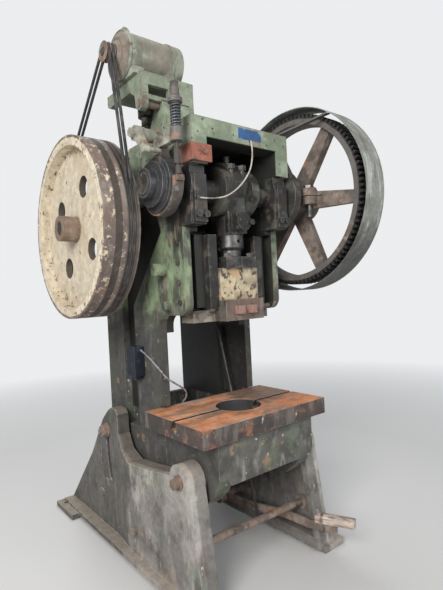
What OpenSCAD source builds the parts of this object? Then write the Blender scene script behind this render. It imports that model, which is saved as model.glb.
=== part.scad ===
// Inclinable mechanical stamping press: cast C-frame between two cast legs, crankshaft
// with a large spur gear on the right, countershaft flywheel on the left, motor on top.
// X is to the operator's right, Y is to the back, Z is up. The origin lies on the floor
// at the centre of the four anchor-bolt holes.

/* [Stand] */
// Anchor holes, spacing across the press
anchor_span_x = 890; // [870:5:910]
// Anchor holes, spacing front to back
anchor_span_y = 1390; // [1340:10:1400]
// Anchor hole diameter
anchor_hole = 28; // [18:1:34]
// Outer face of each leg's web, from the centre plane
leg_face_x = 400; // [396:1:408]
// Thickness of the leg's web
leg_web = 28; // [20:1:34]
// Height of the pivot bolts above the floor
pivot_z = 532; // [526:1:540]
// Pivot bolt diameter
pivot_bolt_d = 48; // [36:1:56]
// Radius of the tilting slot about the pivot bolt
slot_radius = 756; // [752:1:762]
// Clamp bolt diameter
clamp_bolt_d = 30; // [22:1:34]
// Tilting range of the frame in degrees
tilt_range = 20; // [10:1:20]

/* [Frame] */
// Width of the cast frame over its cheeks
frame_w = 590; // [582:2:596]
// Thickness of each cheek casting
cheek_t = 80; // [72:1:86]
// Height of the frame's top above the floor
crown_z = 2108; // [2090:2:2140]
// Height of the crown beam
crown_beam_h = 85; // [60:1:100]
// Height of the jaw's underside above the floor
jaw_z = 1240; // [1238:1:1244]

/* [Bolster] */
// Bolster width
bolster_w = 760; // [700:5:800]
// Bolster depth
bolster_d = 478; // [460:2:490]
// Bolster thickness
bolster_t = 77; // [60:1:90]
// Height of the bolster's top above the floor
bolster_z = 780; // [770:1:800]
// Diameter of the round hole through bolster and bed
bolster_hole_d = 224; // [180:2:236]
// Width of the T-slot's neck
tslot_w = 20; // [14:1:24]

/* [Drive] */
// Crankshaft axis height above the floor
crank_z = 1817; // [1810:1:1822]
// Crank throw, half of the stroke
crank_throw = 40; // [34:1:42]
// Main journal diameter
journal_d = 104; // [92:1:110]
// Crankpin diameter
crankpin_d = 96; // [84:1:98]
// Gear module, tooth pitch over pi
gear_module = 9; // [8.9:0.02:9.06]
// Gear face width
gear_face = 110; // [90:1:116]
// Countershaft diameter
countershaft_d = 70; // [60:1:78]
// Flywheel outer diameter
flywheel_d = 892; // [870:2:896]
// Brake drum diameter
drum_d = 240; // [220:2:248]

/* [Slide] */
// Slide body width
slide_w = 236; // [224:1:248]
// Die shank hole diameter
shank_d = 50; // [40:1:60]
// Ball screw diameter
screw_d = 76; // [66:1:84]

/* [Motor] */
// Motor body diameter
motor_d = 220; // [210:2:226]
// Motor axis height above the floor
motor_z = 2473; // [2466:1:2482]
// Motor pulley diameter
pulley_d = 92; // [86:1:100]

/* [Hidden] */

$fn = 64;
// Gap between pieces that seat on each other, and running clearance of a shaft
gap = 0.3;
run = 0.06;

// Half width of the frame, and the inner face of a cheek
cheek_x = frame_w / 2;
cheek_in = cheek_x - cheek_t;
// Ram axis and pivot axis, ahead of the anchor centre
press_y = -545;
pivot_y = -600;
bed_z = bolster_z - bolster_t;
bolster_y = press_y + 14;
bolster_back = bolster_y + bolster_d / 2;
// Frame outline in the side view
crown_front = press_y - 130;
crown_leg_z = crank_z + 84;
cap_foot = crank_z - 177;
jaw_front = press_y - 26;
throat_y = press_y + 215;
column_y = -75;
rear_rib_y = 67;
frame_back = 263;
frame_foot = 430;
bed_front = bolster_y - bolster_d / 2 + 20;
skirt_foot = 512;
// Legs
leg_in = leg_face_x - leg_web;
rim_x = cheek_x + 19;
boss_face = rim_x - gap - 1;
leg_front = -751;
leg_back = 745;
lug_r = 76;
slot_start = 5;
slot_r = clamp_bolt_d / 2 + 3;
slot_end_step = 0.6;
// The rear of a leg's web stands further in, behind a soft bend
leg_sink = 22;
sink_y0 = -110;
sink_y1 = 50;
rear_face = leg_face_x - leg_sink;
// Gear pair
gear_teeth = 100;
pinion_teeth = 18;
gear_r = gear_module * gear_teeth / 2;
pinion_r = gear_module * pinion_teeth / 2;
gear_x = 450;
gear_back = gear_x + gear_face;
shaft_y = press_y + 515;
shaft_z = crank_z - sqrt(pow(gear_r + pinion_r, 2) - pow(shaft_y - press_y, 2));
// Flywheel planes, outer face on the left and belt side on the right
flywheel_x0 = -620;
flywheel_x1 = -450;
flywheel_r = flywheel_d / 2;
belt_x = [-496, -476];
belt_h = 12;
// Shaft boss faces outside the cheeks
boss_left = -420;
boss_right = 430;
// Motor axis, and the motor's place along it
motor_y = press_y + 240;
motor_x0 = -430;
motor_x1 = -118;
// Slide planes
slide_z0 = 1200;
slide_z1 = 1450;
slide_y0 = press_y - 55;
slide_y1 = press_y + 90;
way_x = slide_w / 2 + 32;
seat_x = 168;
flange_x = 235;
// Pitman head, at rest at the top of the stroke
head_z = crank_z + crank_throw;
pitman_half = 56;
web_r = 116;
web_x0 = 60;
web_x1 = 104;

// Extrudes a side-view outline of Y and Z between two X planes
module side_plate(x0, x1) {
    translate([x0, 0, 0])
    rotate([90, 0, 90])
    linear_extrude(x1 - x0)
    children();
}

// Round bar along X between two planes
module bar_x(x0, x1, y, z, d) {
    translate([x0, y, z])
    rotate([0, 90, 0])
    cylinder(h = x1 - x0, d = d);
}

// Round bar along Y between two planes
module bar_y(x, y0, y1, z, d) {
    translate([x, y0, z])
    rotate([-90, 0, 0])
    cylinder(h = y1 - y0, d = d);
}

// Round bar along Z between two planes
module bar_z(x, y, z0, z1, d) {
    translate([x, y, z0])
    cylinder(h = z1 - z0, d = d);
}

// Block between two corners
module block(low, high) {
    translate(low)
    cube(high - low);
}

// Hexagon of the given width across flats, along +Z
module hexagon(af, h) {
    cylinder(h = h, d = af / cos(30), $fn = 6);
}

// Bolt head or nut whose face looks to -Y, seated on the plane y
module head_front(x, y, z, af) {
    translate([x, y, z])
    rotate([90, 0, 0])
    hexagon(af, af * 0.6);
}

// The right-hand shape and its mirror image on the left
module both_sides() {
    children();
    mirror([1, 0, 0]) children();
}

// Side view of a leg: leaning front edge, round pivot lug, dipped top edge and tall rear lug
module leg_outline() {
    polygon([[leg_front, 14], [pivot_y - lug_r + 1, pivot_z - 12], [pivot_y, pivot_z + lug_r - 1],
        [pivot_y + lug_r, pivot_z + 6], [-511, 540], [-302, 509], [-123, 490], [-31, 527], [12, 600],
        [20, 705], [44, 728], [100, 730], [140, 708], [214, 646], [388, 414],
        [leg_back, 40], [leg_back, 14]]);
    translate([pivot_y, pivot_z]) circle(r = lug_r);
}

// Hollow on the inside of a leg, within its rim
module leg_hollow() {
    polygon([[leg_front + 36, 70], [pivot_y - 44, pivot_z - 100], [pivot_y + 60, pivot_z - 90],
        [-500, 508], [-302, 480], [-118, 460], [-8, 506], [36, 588], [46, 690], [62, 702],
        [92, 704], [120, 688], [190, 628], [362, 398], [leg_back - 60, 70]]);
}

// Arc slot for the clamp bolt, centred on the pivot bolt
module leg_slot() {
    far = slot_radius * 1.5;
    stop = slot_start - tilt_range;
    intersection() {
        translate([pivot_y, pivot_z])
        difference() {
            circle(r = slot_radius + slot_r, $fn = 180);
            circle(r = slot_radius - slot_r, $fn = 180);
        }
        translate([pivot_y, pivot_z])
        polygon([[0, 0], [far * cos(slot_start), far * sin(slot_start)],
            [far * cos(stop), far * sin(stop)]]);
    }
    for (a = [slot_start, stop])
        translate([pivot_y + slot_radius * cos(a), pivot_z + slot_radius * sin(a)])
        circle(r = slot_r - slot_end_step);
}

// Plan view of a leg within an outer face that steps in behind the bend
module leg_plan(face) {
    translate([0, 0, -1])
    linear_extrude(900)
    polygon([[0, -900], [face, -900], [face, sink_y0], [face - leg_sink, sink_y1],
        [face - leg_sink, 900], [0, 900]]);
}

module foot_pad(y0, y1) {
    block([335, y0, 0], [485, y1, 30]);
}

module leg() {
    difference() {
        union() {
            difference() {
                intersection() {
                    side_plate(rim_x, leg_face_x) leg_outline();
                    leg_plan(leg_face_x);
                }
                intersection() {
                    side_plate(rim_x - 1, leg_in) leg_hollow();
                    leg_plan(leg_in);
                }
            }
            // Bottom flange and foot pads
            block([335, leg_front, 14], [440, leg_back, 40]);
            foot_pad(leg_front - 19, -500);
            foot_pad(495, 760);
            // Cast bosses on the web
            bar_x(leg_in, leg_face_x + 8, -310, 200, 56);
            bar_x(rear_face - leg_web, rear_face + 8, 192, 290, 52);
            bar_x(rear_face - leg_web, rear_face + 8, 262, 215, 48);
        }
        bar_x(boss_face, leg_face_x + 5, pivot_y, pivot_z, pivot_bolt_d + 2 * run);
        side_plate(rim_x - 1, leg_face_x + 1) leg_slot();
        for (y = [-anchor_span_y / 2, anchor_span_y / 2])
            bar_z(anchor_span_x / 2, y, -1, 45, anchor_hole);
        bar_x(rim_x, leg_face_x + 1, treadle_y, treadle_z, treadle_d + 2 * run);
    }
}

module left_leg() {
    color([0.42, 0.42, 0.38])
    mirror([1, 0, 0])
    leg();
}

module right_leg() {
    color([0.42, 0.42, 0.38])
    leg();
}

// Slanting tie rod, from the left leg's rim to a flange on the right leg's web
tie_left = [-rim_x + gap, -692, 284];
tie_right = [leg_in - gap, -592, 197];
tie_d = 34;
module tie_rod() {
    way = tie_right - tie_left;
    color([0.5, 0.42, 0.36]) {
        intersection() {
            translate(tie_left - way * 0.1)
            rotate([0, acos(way[2] / norm(way)), atan2(way[1], way[0])])
            cylinder(h = norm(way) * 1.2, d = tie_d);
            block([tie_left[0], -900, 0], [tie_right[0], -300, 600]);
        }
        bar_x(tie_right[0] - 9, tie_right[0], tie_right[1], tie_right[2], 76);
    }
}

module pivot_bolts() {
    face = leg_face_x + gap;
    color([0.4, 0.36, 0.32])
    both_sides() {
        bar_x(cheek_in + 5, face + 8, pivot_y, pivot_z, pivot_bolt_d);
        bar_x(face, face + 8, pivot_y, pivot_z, 66);
        translate([face + 8, pivot_y, pivot_z]) rotate([0, 90, 0]) hexagon(44, 26);
    }
}

// Clamp bolt in the slot: it moves with the frame
clamp_y = pivot_y + slot_radius * cos(slot_start);
clamp_z = pivot_z + slot_radius * sin(slot_start);
module clamp_bolts() {
    face = rear_face + gap;
    color([0.5, 0.36, 0.28])
    both_sides() {
        bar_x(cheek_x - 40, face + 50, clamp_y, clamp_z, clamp_bolt_d);
        bar_x(face, face + 10, clamp_y, clamp_z, clamp_bolt_d + 46);
        translate([face + 10, clamp_y, clamp_z]) rotate([0, 90, 0]) hexagon(56, 28);
    }
}

// Treadle: cross shaft in the legs, bent flat lever, board tied on its end
treadle_y = -170;
treadle_z = 160;
treadle_d = 36;
lever_x = 165;
lever_path = [[lever_x, treadle_y], [209, -424], [262, -560], [272, -715], [333, -850]];
lever_t = 14;
lever_z0 = treadle_z - 20;
lever_z1 = treadle_z + 20;
// Side of a bent flat bar, mitred at the bends
function left_of(v) = [-v[1], v[0]] / norm(v);
function mitre(path, i, half) =
    let (a = left_of(path[max(i, 1)] - path[max(i, 1) - 1]))
    let (b = left_of(path[min(i, len(path) - 2) + 1] - path[min(i, len(path) - 2)]))
    path[i] + half * (a + b) / (1 + a * b);

module treadle_shaft() {
    color([0.38, 0.34, 0.3])
    bar_x(-leg_face_x - 12, leg_face_x + 12, treadle_y, treadle_z, treadle_d);
}

module treadle_lever() {
    color([0.45, 0.32, 0.24])
    difference() {
        union() {
            translate([0, 0, lever_z0])
            linear_extrude(lever_z1 - lever_z0)
            polygon(concat(
                [for (i = [0 : len(lever_path) - 1]) mitre(lever_path, i, lever_t / 2)],
                [for (i = [len(lever_path) - 1 : -1 : 0]) mitre(lever_path, i, -lever_t / 2)]));
            bar_x(lever_x - 36, lever_x + 36, treadle_y, treadle_z, 72);
        }
        bar_x(lever_x - 60, lever_x + 60, treadle_y, treadle_z, treadle_d + 2 * run);
    }
}

module treadle_board() {
    a = lever_path[3];
    b = lever_path[4];
    color([0.75, 0.65, 0.55])
    translate([a[0], a[1], lever_z1 + gap])
    rotate([0, 0, atan2(b[1] - a[1], b[0] - a[0])])
    translate([45, -24, 0])
    cube([190, 48, 34]);
}

// Pull rod: from a hook under the lever, leaning back past the bed, into a guide on the cheek
rod_d = 14;
rod_lean = 15;
rod_y = -427;
rod_clear = 3;
rod_bend = atan((lever_path[2][0] - lever_path[1][0]) / (lever_path[1][1] - lever_path[2][1]));
rod_x = lever_path[1][0] + (lever_path[1][1] - rod_y) * tan(rod_bend)
    - (lever_t / 2 + rod_d / 2 + rod_clear) / cos(rod_bend);
rod_l = 1170;
guide_l = 1120;
module along_rod() {
    translate([rod_x, rod_y, treadle_z])
    rotate([-rod_lean, 0, 0])
    children();
}

module pull_rod() {
    color([0.5, 0.48, 0.44]) {
        along_rod()
        translate([0, 0, -34])
        cylinder(h = rod_l + 34, d = rod_d);
        bar_x(rod_x, rod_x + 26, rod_y - 9, lever_z0 - gap - 6, 12);
    }
}

// Side view of a cheek: crown, bearing seat, jaw, throat, bed and foot
module cheek_outline() {
    fillet = 60;
    nose = 54;
    step = 12;
    difference() {
        union() {
            polygon([[crown_front, crown_z], [crown_front, crown_leg_z],
                [press_y, crown_leg_z], [press_y, cap_foot], [jaw_front, cap_foot],
                [jaw_front, jaw_z], [throat_y, jaw_z], [throat_y, bed_z],
                [bed_front, bed_z], [bed_front, 545], [-706, 470], [-640, 412], [-560, 400],
                [-380, 425], [frame_back, frame_foot], [frame_back, 1760],
                [-110, crown_z]]);
            translate([throat_y - fillet, jaw_z - fillet])
            difference() {
                square(fillet + 1);
                circle(r = fillet);
            }
        }
        translate([jaw_front + nose, jaw_z + nose])
        difference() {
            translate([-nose - 1, -nose - 1]) square(nose + 1);
            circle(r = nose);
        }
        // Step over the back of the bolster
        translate([throat_y - 1, bed_z]) square([bolster_back + 5 - throat_y, bolster_t + step]);
    }
}

// Sunk field on the outside of a cheek, behind the diagonal rib
module cheek_recess() {
    top = crank_z - 17;
    polygon([[column_y, pivot_z + 108], [rear_rib_y, pivot_z + 108], [rear_rib_y, top - 240], [-60, top],
        [press_y + 215, top], [press_y + 160, top - 160], [column_y, jaw_z + 50]]);
}

module cheek() {
    recess_d = 45;
    wall = 40;
    difference() {
        side_plate(cheek_in, cheek_x) cheek_outline();
        side_plate(cheek_x - recess_d, cheek_x + 1) cheek_recess();
        // Hollows on the inside: throat wall, and jaw in front of the gib seat
        block([cheek_in - 1, throat_y - 1, bed_z + 50], [cheek_x - wall, -120, jaw_z - 90]);
        block([cheek_in - 1, jaw_front - 1, jaw_z - 1], [cheek_x - wall, press_y + 45, cap_foot - 20]);
        block([cheek_in - 1, jaw_front - 1, jaw_z - 1], [cheek_x - wall, press_y + 130, jaw_z + 30]);
        block([cheek_in - 1, jaw_front - 1, jaw_z - 80], [cheek_x - wall, press_y + 130, jaw_z]);
    }
    // Pivot boss and clamp boss towards the leg
    bar_x(cheek_in, boss_face, pivot_y, pivot_z, 120);
    bar_x(cheek_x - 50, leg_in - leg_sink - gap, clamp_y, clamp_z, 66);
    // Gib seat inside the jaw
    block([seat_x, press_y, jaw_z + 30], [cheek_in + 1, press_y + 115, cap_foot - 30]);
}

module frame() {
    color([0.42, 0.5, 0.36])
    difference() {
        union() {
            both_sides() cheek();
            // Crown beam over the crankshaft
            block([-cheek_in - 1, crown_front, crown_z - crown_beam_h],
                [cheek_in + 1, crown_front + 115, crown_z]);
            // Back web above the open back, and the rear foot web
            side_plate(-cheek_in - 1, cheek_in + 1)
            polygon([[frame_back - 35, 1300], [frame_back, 1300], [frame_back, 1760],
                [-110, crown_z], [-160, crown_z], [frame_back - 35, 1745]]);
            block([-cheek_in - 1, frame_back - 35, frame_foot],
                [cheek_in + 1, frame_back, bolster_z - 65]);
            // Top web behind the crown beam
            block([-cheek_in - 1, crown_front + 100, crown_z - 35], [cheek_in + 1, -140, crown_z]);
            // Bed plate and front skirt
            block([-cheek_in - 1, bed_front, bed_z - 45], [cheek_in + 1, bolster_back - 20, bed_z]);
            bed_skirt();
            // Guide for the pull rod on the right cheek
            intersection() {
                along_rod() translate([-18, -24, guide_l]) cube([80, 48, 34]);
                block([0, throat_y, jaw_z - 200], [cheek_in + 1, column_y, jaw_z + 200]);
            }
            // Countershaft bosses
            bar_x(boss_left, -cheek_in, shaft_y, shaft_z, 176);
            bar_x(cheek_in, boss_right, shaft_y, shaft_z, 176);
            // Cross-shaft boss on the left cheek, hinge lugs on the crown
            bar_x(-cheek_x - 60, -cheek_x + 5, press_y + 140, 1456, 60);
            bar_x(-cheek_x - 34, -cheek_x + 5, press_y + 112, 1285, 44);
            for (x = lug_places) hinge_lug(x);
        }
        bar_z(0, press_y, bed_z - 50, bed_z + 1, bolster_hole_d);
        bar_x(-cheek_x - 1, cheek_x + 1, press_y, crank_z, journal_d + 2 * run);
        bar_x(boss_left - 1, boss_right + 1, shaft_y, shaft_z, countershaft_d + 30);
        along_rod() translate([0, 0, guide_l - 60]) cylinder(h = 150, d = rod_d + gap);
        bolt_places() bar_z(0, 0, bed_z - 60, bed_z + 1, 22);
        both_sides() {
            bar_x(cheek_in - 1, boss_face + 1, pivot_y, pivot_z, pivot_bolt_d + 2 * run);
            bar_x(cheek_x - 45, leg_in, clamp_y, clamp_z, clamp_bolt_d + gap);
        }
    }
}

// Front skirt of the bed, narrower at its foot
module bed_skirt() {
    translate([0, bed_front + 30, 0])
    rotate([90, 0, 0])
    linear_extrude(30)
    polygon([[-cheek_x, bed_z], [-285, 600], [-231, skirt_foot],
        [231, skirt_foot], [285, 600], [cheek_x, bed_z]]);
}

// Lug on the crown that carries the motor plate's hinge rod
hinge_y = press_y + 125;
hinge_z = 2222;
lug_t = 46;
lug_r0 = 37;
lug_places = [-cheek_x, -190];
module hinge_lug(x) {
    difference() {
        side_plate(x, x + lug_t)
        union() {
            polygon([[hinge_y - 100, crown_z - 5], [hinge_y - 36, hinge_z],
                [hinge_y + 36, hinge_z], [hinge_y + 110, crown_z - 5]]);
            translate([hinge_y, hinge_z]) circle(r = lug_r0);
        }
        bar_x(x - 1, x + lug_t + 1, hinge_y, hinge_z, 34 + gap);
    }
}

module bolster() {
    neck = tslot_w;
    head_w = tslot_w * 2.3;
    color([0.72, 0.42, 0.24])
    difference() {
        block([-bolster_w / 2, bolster_back - bolster_d, bed_z],
            [bolster_w / 2, bolster_back, bolster_z]);
        bar_z(0, press_y, bed_z - 1, bolster_z + 1, bolster_hole_d);
        block([-bolster_w / 2 - 1, press_y - neck / 2, bolster_z - 19],
            [bolster_w / 2 + 1, press_y + neck / 2, bolster_z + 1]);
        block([-bolster_w / 2 - 1, press_y - head_w / 2, bolster_z - 38],
            [bolster_w / 2 + 1, press_y + head_w / 2, bolster_z - 18]);
        bolt_places() bar_z(0, 0, bed_z - 1, bed_z + 25, 20 + 2 * run);
    }
}

// Four bolts that hold the bolster from under the bed plate
module bolt_places() {
    for (x = [-160, 160], y = [bolster_y - 168, bolster_y + 168])
        translate([x, y, 0])
        children();
}

module bolster_bolts() {
    color([0.35, 0.33, 0.3])
    bolt_places() {
        bar_z(0, 0, bed_z - 60, bed_z + 22, 20);
        translate([0, 0, bed_z - 45 - gap - 14]) hexagon(30, 14);
    }
}

// Gib: C-shaped guide round the slide's way
gib_z0 = slide_z0 + 62;
gib_z1 = cap_foot - 32;
module gib() {
    difference() {
        block([slide_w / 2 + gap, press_y - 40, gib_z0], [seat_x - gap, press_y + 100, gib_z1]);
        block([0, press_y - 16 - gap, gib_z0 - 1], [way_x + gap, press_y + 70 + gap, gib_z1 + 1]);
    }
}

module left_gib() {
    color([0.35, 0.36, 0.38])
    mirror([1, 0, 0])
    gib();
}

module right_gib() {
    color([0.35, 0.36, 0.38])
    gib();
}

module gib_screws() {
    color([0.3, 0.3, 0.3])
    both_sides()
    for (z = [1300 : 90 : 1570])
        bar_x(cheek_x + gap, cheek_x + 10, press_y + 20, z, 24);
}

// Bearing cap: front half of a main bearing, held by studs low on its face
module bearing_cap() {
    difference() {
        union() {
            block([cheek_in, crown_front + 30, cap_foot + 3], [cheek_x, press_y - gap, crown_leg_z - gap]);
            bar_x(cheek_in, cheek_x, press_y, crank_z, journal_d + 120);
            block([cheek_in + 8, crown_front + 8, cap_foot + 10], [cheek_x - 8, press_y - 20, crank_z + 40]);
        }
        block([0, press_y - gap, 0], [cheek_x + 1, 0, crown_z]);
        block([0, crown_front - 200, crown_leg_z - gap], [cheek_x + 1, 0, crown_z]);
        bar_x(0, cheek_x + 1, press_y, crank_z, journal_d + 2 * run);
    }
}

module left_bearing_cap() {
    color([0.16, 0.16, 0.15])
    mirror([1, 0, 0])
    bearing_cap();
}

module right_bearing_cap() {
    color([0.16, 0.16, 0.15])
    bearing_cap();
}

module cap_nuts() {
    color([0.45, 0.43, 0.4])
    both_sides()
    for (x = [cheek_in + 18, cheek_x - 20], z = [cap_foot + 42])
        head_front(x, crown_front + 8, z, 27);
}

// Painted angle bracket on the left crown leg, ahead of the cap
module stop_bracket() {
    y0 = crown_front - 12;
    z0 = crown_leg_z + 8;
    color([0.62, 0.25, 0.16]) {
        difference() {
            block([-cheek_x - 12, y0, z0], [-cheek_in + 16, crown_front, z0 + 74]);
            translate([-cheek_in - 20, y0 - 1, z0 - 30])
            rotate([0, 38, 0])
            cube([90, 20, 30]);
        }
        block([-cheek_x - 12, crown_front - 1, z0], [-cheek_x, crown_front + 70, z0 + 74]);
        head_front(-cheek_in - 28, y0, z0 + 40, 20);
    }
}

// Thin oil pipe from the crown beam down to the left cap
pipe_r = 3.5;
pipe_path = [[43, -681, 2046], [42, -688, 2010], [36, -692, 1960], [18, -694, 1905],
    [-12, -694, 1860], [-50, -694, 1820], [-95, -693, 1786], [-145, -691, 1762],
    [-195, -688, 1752], [-240, -684, 1749], [-264, -679, 1750], [-276, -674, 1751]];
pipe_end = pipe_path[len(pipe_path) - 1];
module oil_pipe() {
    color([0.75, 0.73, 0.68]) {
        tube(pipe_path, pipe_r, 8);
        bar_y(pipe_end[0], crown_front - 2, crown_front + 8 - gap, pipe_end[2], 16);
    }
}

// Tube swept along points: one ring a point, across the mean direction there
function unit(v) = v / norm(v);
function heading(p, i) = unit(p[min(i + 1, len(p) - 1)] - p[max(i - 1, 0)]);
function ring(p, i, r, n) =
    let (d = heading(p, i), s = unit(cross(d, abs(d[2]) > 0.9 ? [0, 1, 0] : [0, 0, 1])), t = cross(s, d))
    [for (k = [0 : n - 1]) p[i] + r * (cos(360 * k / n) * s + sin(360 * k / n) * t)];
module tube(p, r, n) {
    m = len(p);
    polyhedron(
        points = [for (i = [0 : m - 1]) each ring(p, i, r, n)],
        faces = concat(
            [[for (k = [0 : n - 1]) n - 1 - k]],
            [for (i = [0 : m - 2], k = [0 : n - 1])
                [i * n + k, i * n + (k + 1) % n, (i + 1) * n + (k + 1) % n]],
            [for (i = [0 : m - 2], k = [0 : n - 1])
                [i * n + k, (i + 1) * n + (k + 1) % n, (i + 1) * n + k]],
            [[for (k = [0 : n - 1]) (m - 1) * n + k]]));
}

// Gear guard: a rolled band round the gear, open at the pinion
guard_r = gear_r + gear_module + 28;
guard_x0 = gear_x - 16;
guard_x1 = gear_back + 20;
module guard_outline() {
    away = atan2(shaft_z - crank_z, shaft_y - press_y);
    far = 2 * guard_r;
    difference() {
        circle(r = guard_r + 4, $fn = 180);
        circle(r = guard_r, $fn = 180);
        polygon([[0, 0], [far * cos(away - 34), far * sin(away - 34)],
            [far * cos(away + 34), far * sin(away + 34)]]);
    }
}

module gear_guard() {
    color([0.5, 0.49, 0.44])
    side_plate(guard_x0, guard_x1)
    translate([press_y, crank_z])
    guard_outline();
}

// Flat stays to the guard band: one leaning from the crown's top, one straight out from the cheek
stay_foot = [cheek_x - 35, -585, crown_z + 4];
stay_tip = [guard_x0 + 7, -835, 2208];
module guard_stays() {
    way = stay_tip - stay_foot;
    lean = acos(way[2] / norm(way));
    low_y = press_y + 167;
    low_z = crank_z - sqrt(pow(guard_r + 4 + gap, 2) - 167 * 167);
    color([0.6, 0.58, 0.5]) {
        difference() {
            union() {
                translate(stay_foot)
                rotate([0, lean, atan2(way[1], way[0])])
                translate([-4, -16, 0])
                cube([8, 32, norm(way) * 1.1]);
                block([cheek_x - 70, stay_foot[1] - 24, crown_z + gap],
                    [cheek_x - 8, stay_foot[1] + 24, crown_z + 9]);
            }
            block([0, -900, 0], [700, 0, crown_z + gap]);
            side_plate(guard_x0 - 60, guard_x1 + 60)
            translate([press_y, crank_z])
            difference() {
                circle(r = guard_r + 200);
                circle(r = guard_r - gap, $fn = 360);
            }
        }
        difference() {
            block([cheek_x + gap, low_y - 22, low_z - 20], [guard_x1 - 4, low_y + 22, low_z + 8]);
            side_plate(cheek_x, guard_x1)
            translate([press_y, crank_z])
            circle(r = guard_r + 4 + gap, $fn = 360);
        }
    }
}

// Brake bracket: cast arm on the left cheek with a pin boss and a spring socket
brake_x = -374;
brake_pin = [-505, 2042];
rod_front = press_y - drum_d / 2 - 12;
socket_z = 1974;
module brake_bracket() {
    color([0.46, 0.42, 0.34])
    difference() {
        union() {
            bar_x(-448, -cheek_x - gap, brake_pin[0], brake_pin[1], 58);
            bar_x(-cheek_x - 14, -cheek_x - gap, brake_pin[0], brake_pin[1], 110);
            bar_z(brake_x, rod_front, socket_z, socket_z + 56, 54);
            block([brake_x - 14, rod_front + 20, socket_z + 6],
                [brake_x + 14, brake_pin[0], socket_z + 46]);
        }
        bar_z(brake_x, rod_front, socket_z - 1, socket_z + 60, 20);
    }
}

// Brake band with its lining, open at the upper front
module brake_band() {
    r0 = drum_d / 2 + gap;
    r1 = r0 + 12;
    color([0.7, 0.36, 0.2])
    difference() {
        union() {
            bar_x(brake_x - 24, brake_x + 24, press_y, crank_z, 2 * r1);
            // Lug for the rod at the front and for the lever on top
            block([brake_x - 20, press_y - r1 - 14, crank_z - 6],
                [brake_x + 20, press_y - r0 - 3, crank_z + 22]);
            block([brake_x - 20, press_y - 38, crank_z + r0 + 3],
                [brake_x + 20, press_y - 14, crank_z + r1 + 18]);
        }
        bar_x(brake_x - 30, brake_x + 30, press_y, crank_z, 2 * r0);
        side_plate(brake_x - 30, brake_x + 30)
        translate([press_y, crank_z])
        polygon([[0, 0], [-200, 24], [-200, 200], [-60, 200]]);
    }
}

// Brake lever: flat arm from the pin boss down to the band's upper lug
module brake_lever() {
    foot = [press_y - 26, crank_z + drum_d / 2 + 22];
    color([0.4, 0.36, 0.32]) {
        difference() {
            side_plate(-478, -448 - gap)
            union() {
                translate(brake_pin) circle(d = 66);
                translate(foot) circle(d = 30);
                polygon([brake_pin + [-28, 0], foot + [-15, 0], foot + [15, 0], brake_pin + [28, 0]]);
            }
        }
        bar_x(-449, brake_x - 20 - gap, foot[0], foot[1], 22);
        translate([-478, brake_pin[0], brake_pin[1]]) rotate([0, -90, 0]) hexagon(36, 22);
    }
}

module brake_rod() {
    color([0.4, 0.38, 0.35]) {
        bar_z(brake_x, rod_front, crank_z + 22 + gap, spring_z1 + 90, 18);
        bar_z(brake_x, rod_front, crank_z + 22 + gap, crank_z + 52, 26);
        translate([brake_x, rod_front, crank_z + 64]) hexagon(30, 56);
        translate([brake_x, rod_front, spring_z1 + 60 + gap]) hexagon(34, 26);
    }
}

// Compression spring between socket and cap
spring_z0 = socket_z + 56 + gap;
spring_z1 = 2134;
module brake_spring() {
    turns = 9;
    rise = (spring_z1 - spring_z0 - 7) / turns;
    steps = 10;
    path = [for (k = [0 : turns * steps])
        [brake_x + 20 * cos(360 * k / steps), rod_front + 20 * sin(360 * k / steps),
            spring_z0 + 3.5 + rise * k / steps]];
    color([0.28, 0.29, 0.32])
    tube(path, 3.4, 6);
}

module spring_cap() {
    color([0.42, 0.38, 0.36])
    difference() {
        union() {
            bar_z(brake_x, rod_front, spring_z1 + gap, spring_z1 + 18, 62);
            translate([brake_x, rod_front, spring_z1 + 18]) cylinder(h = 16, d1 = 56, d2 = 40);
            bar_z(brake_x, rod_front, spring_z1 + 33, spring_z1 + 60, 40);
        }
        bar_z(brake_x, rod_front, spring_z1 - 1, spring_z1 + 61, 20);
    }
}

// Motor plate: cast box bracket hinged on the crown, with the motor on its top face
plate_x0 = -397;
plate_x1 = -114;
plate_top = motor_z - motor_d / 2 - 6;
plate_back = motor_y + 203;
module hinge_rod() {
    color([0.5, 0.32, 0.24])
    bar_x(plate_x0 - 4, plate_x1 + 4, hinge_y, hinge_z, 34);
}

module plate_side() {
    polygon([[hinge_y - 33, hinge_z], [hinge_y - 33, plate_top - 1], [plate_back, plate_top - 1],
        [plate_back, plate_top - 34], [plate_back - 40, plate_top - 60], [hinge_y + 80, plate_top - 64],
        [hinge_y + 40, plate_top - 92], [hinge_y + 33, hinge_z]]);
    translate([hinge_y, hinge_z]) circle(r = 34);
    translate([plate_back - 26, plate_top - 34]) circle(r = 29);
}

module motor_plate() {
    lug_gap = 3;
    color([0.52, 0.6, 0.45])
    difference() {
        union() {
            side_plate(plate_x0, plate_x0 + 32) plate_side();
            side_plate(plate_x1 - 32, plate_x1) plate_side();
            block([plate_x0, hinge_y - 34, plate_top - 22], [plate_x1, plate_back, plate_top]);
            block([plate_x0 + 1, hinge_y - 34, hinge_z + 12], [plate_x1 - 1, hinge_y - 10, plate_top - 1]);
        }
        // Window in the front wall
        block([plate_x0 + 32, hinge_y - 40, hinge_z + 34], [plate_x0 + 140, hinge_y, hinge_z + 78]);
        bar_x(plate_x0 - 1, plate_x1 + 1, hinge_y, hinge_z, 34 + gap);
        for (x = lug_places) {
            bar_x(x - lug_gap, x + lug_t + lug_gap, hinge_y, hinge_z, 2 * (lug_r0 + lug_gap));
            block([x - lug_gap, hinge_y - 60, hinge_z - 60], [x + lug_t + lug_gap, hinge_y + 90, hinge_z]);
        }
    }
}

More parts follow.
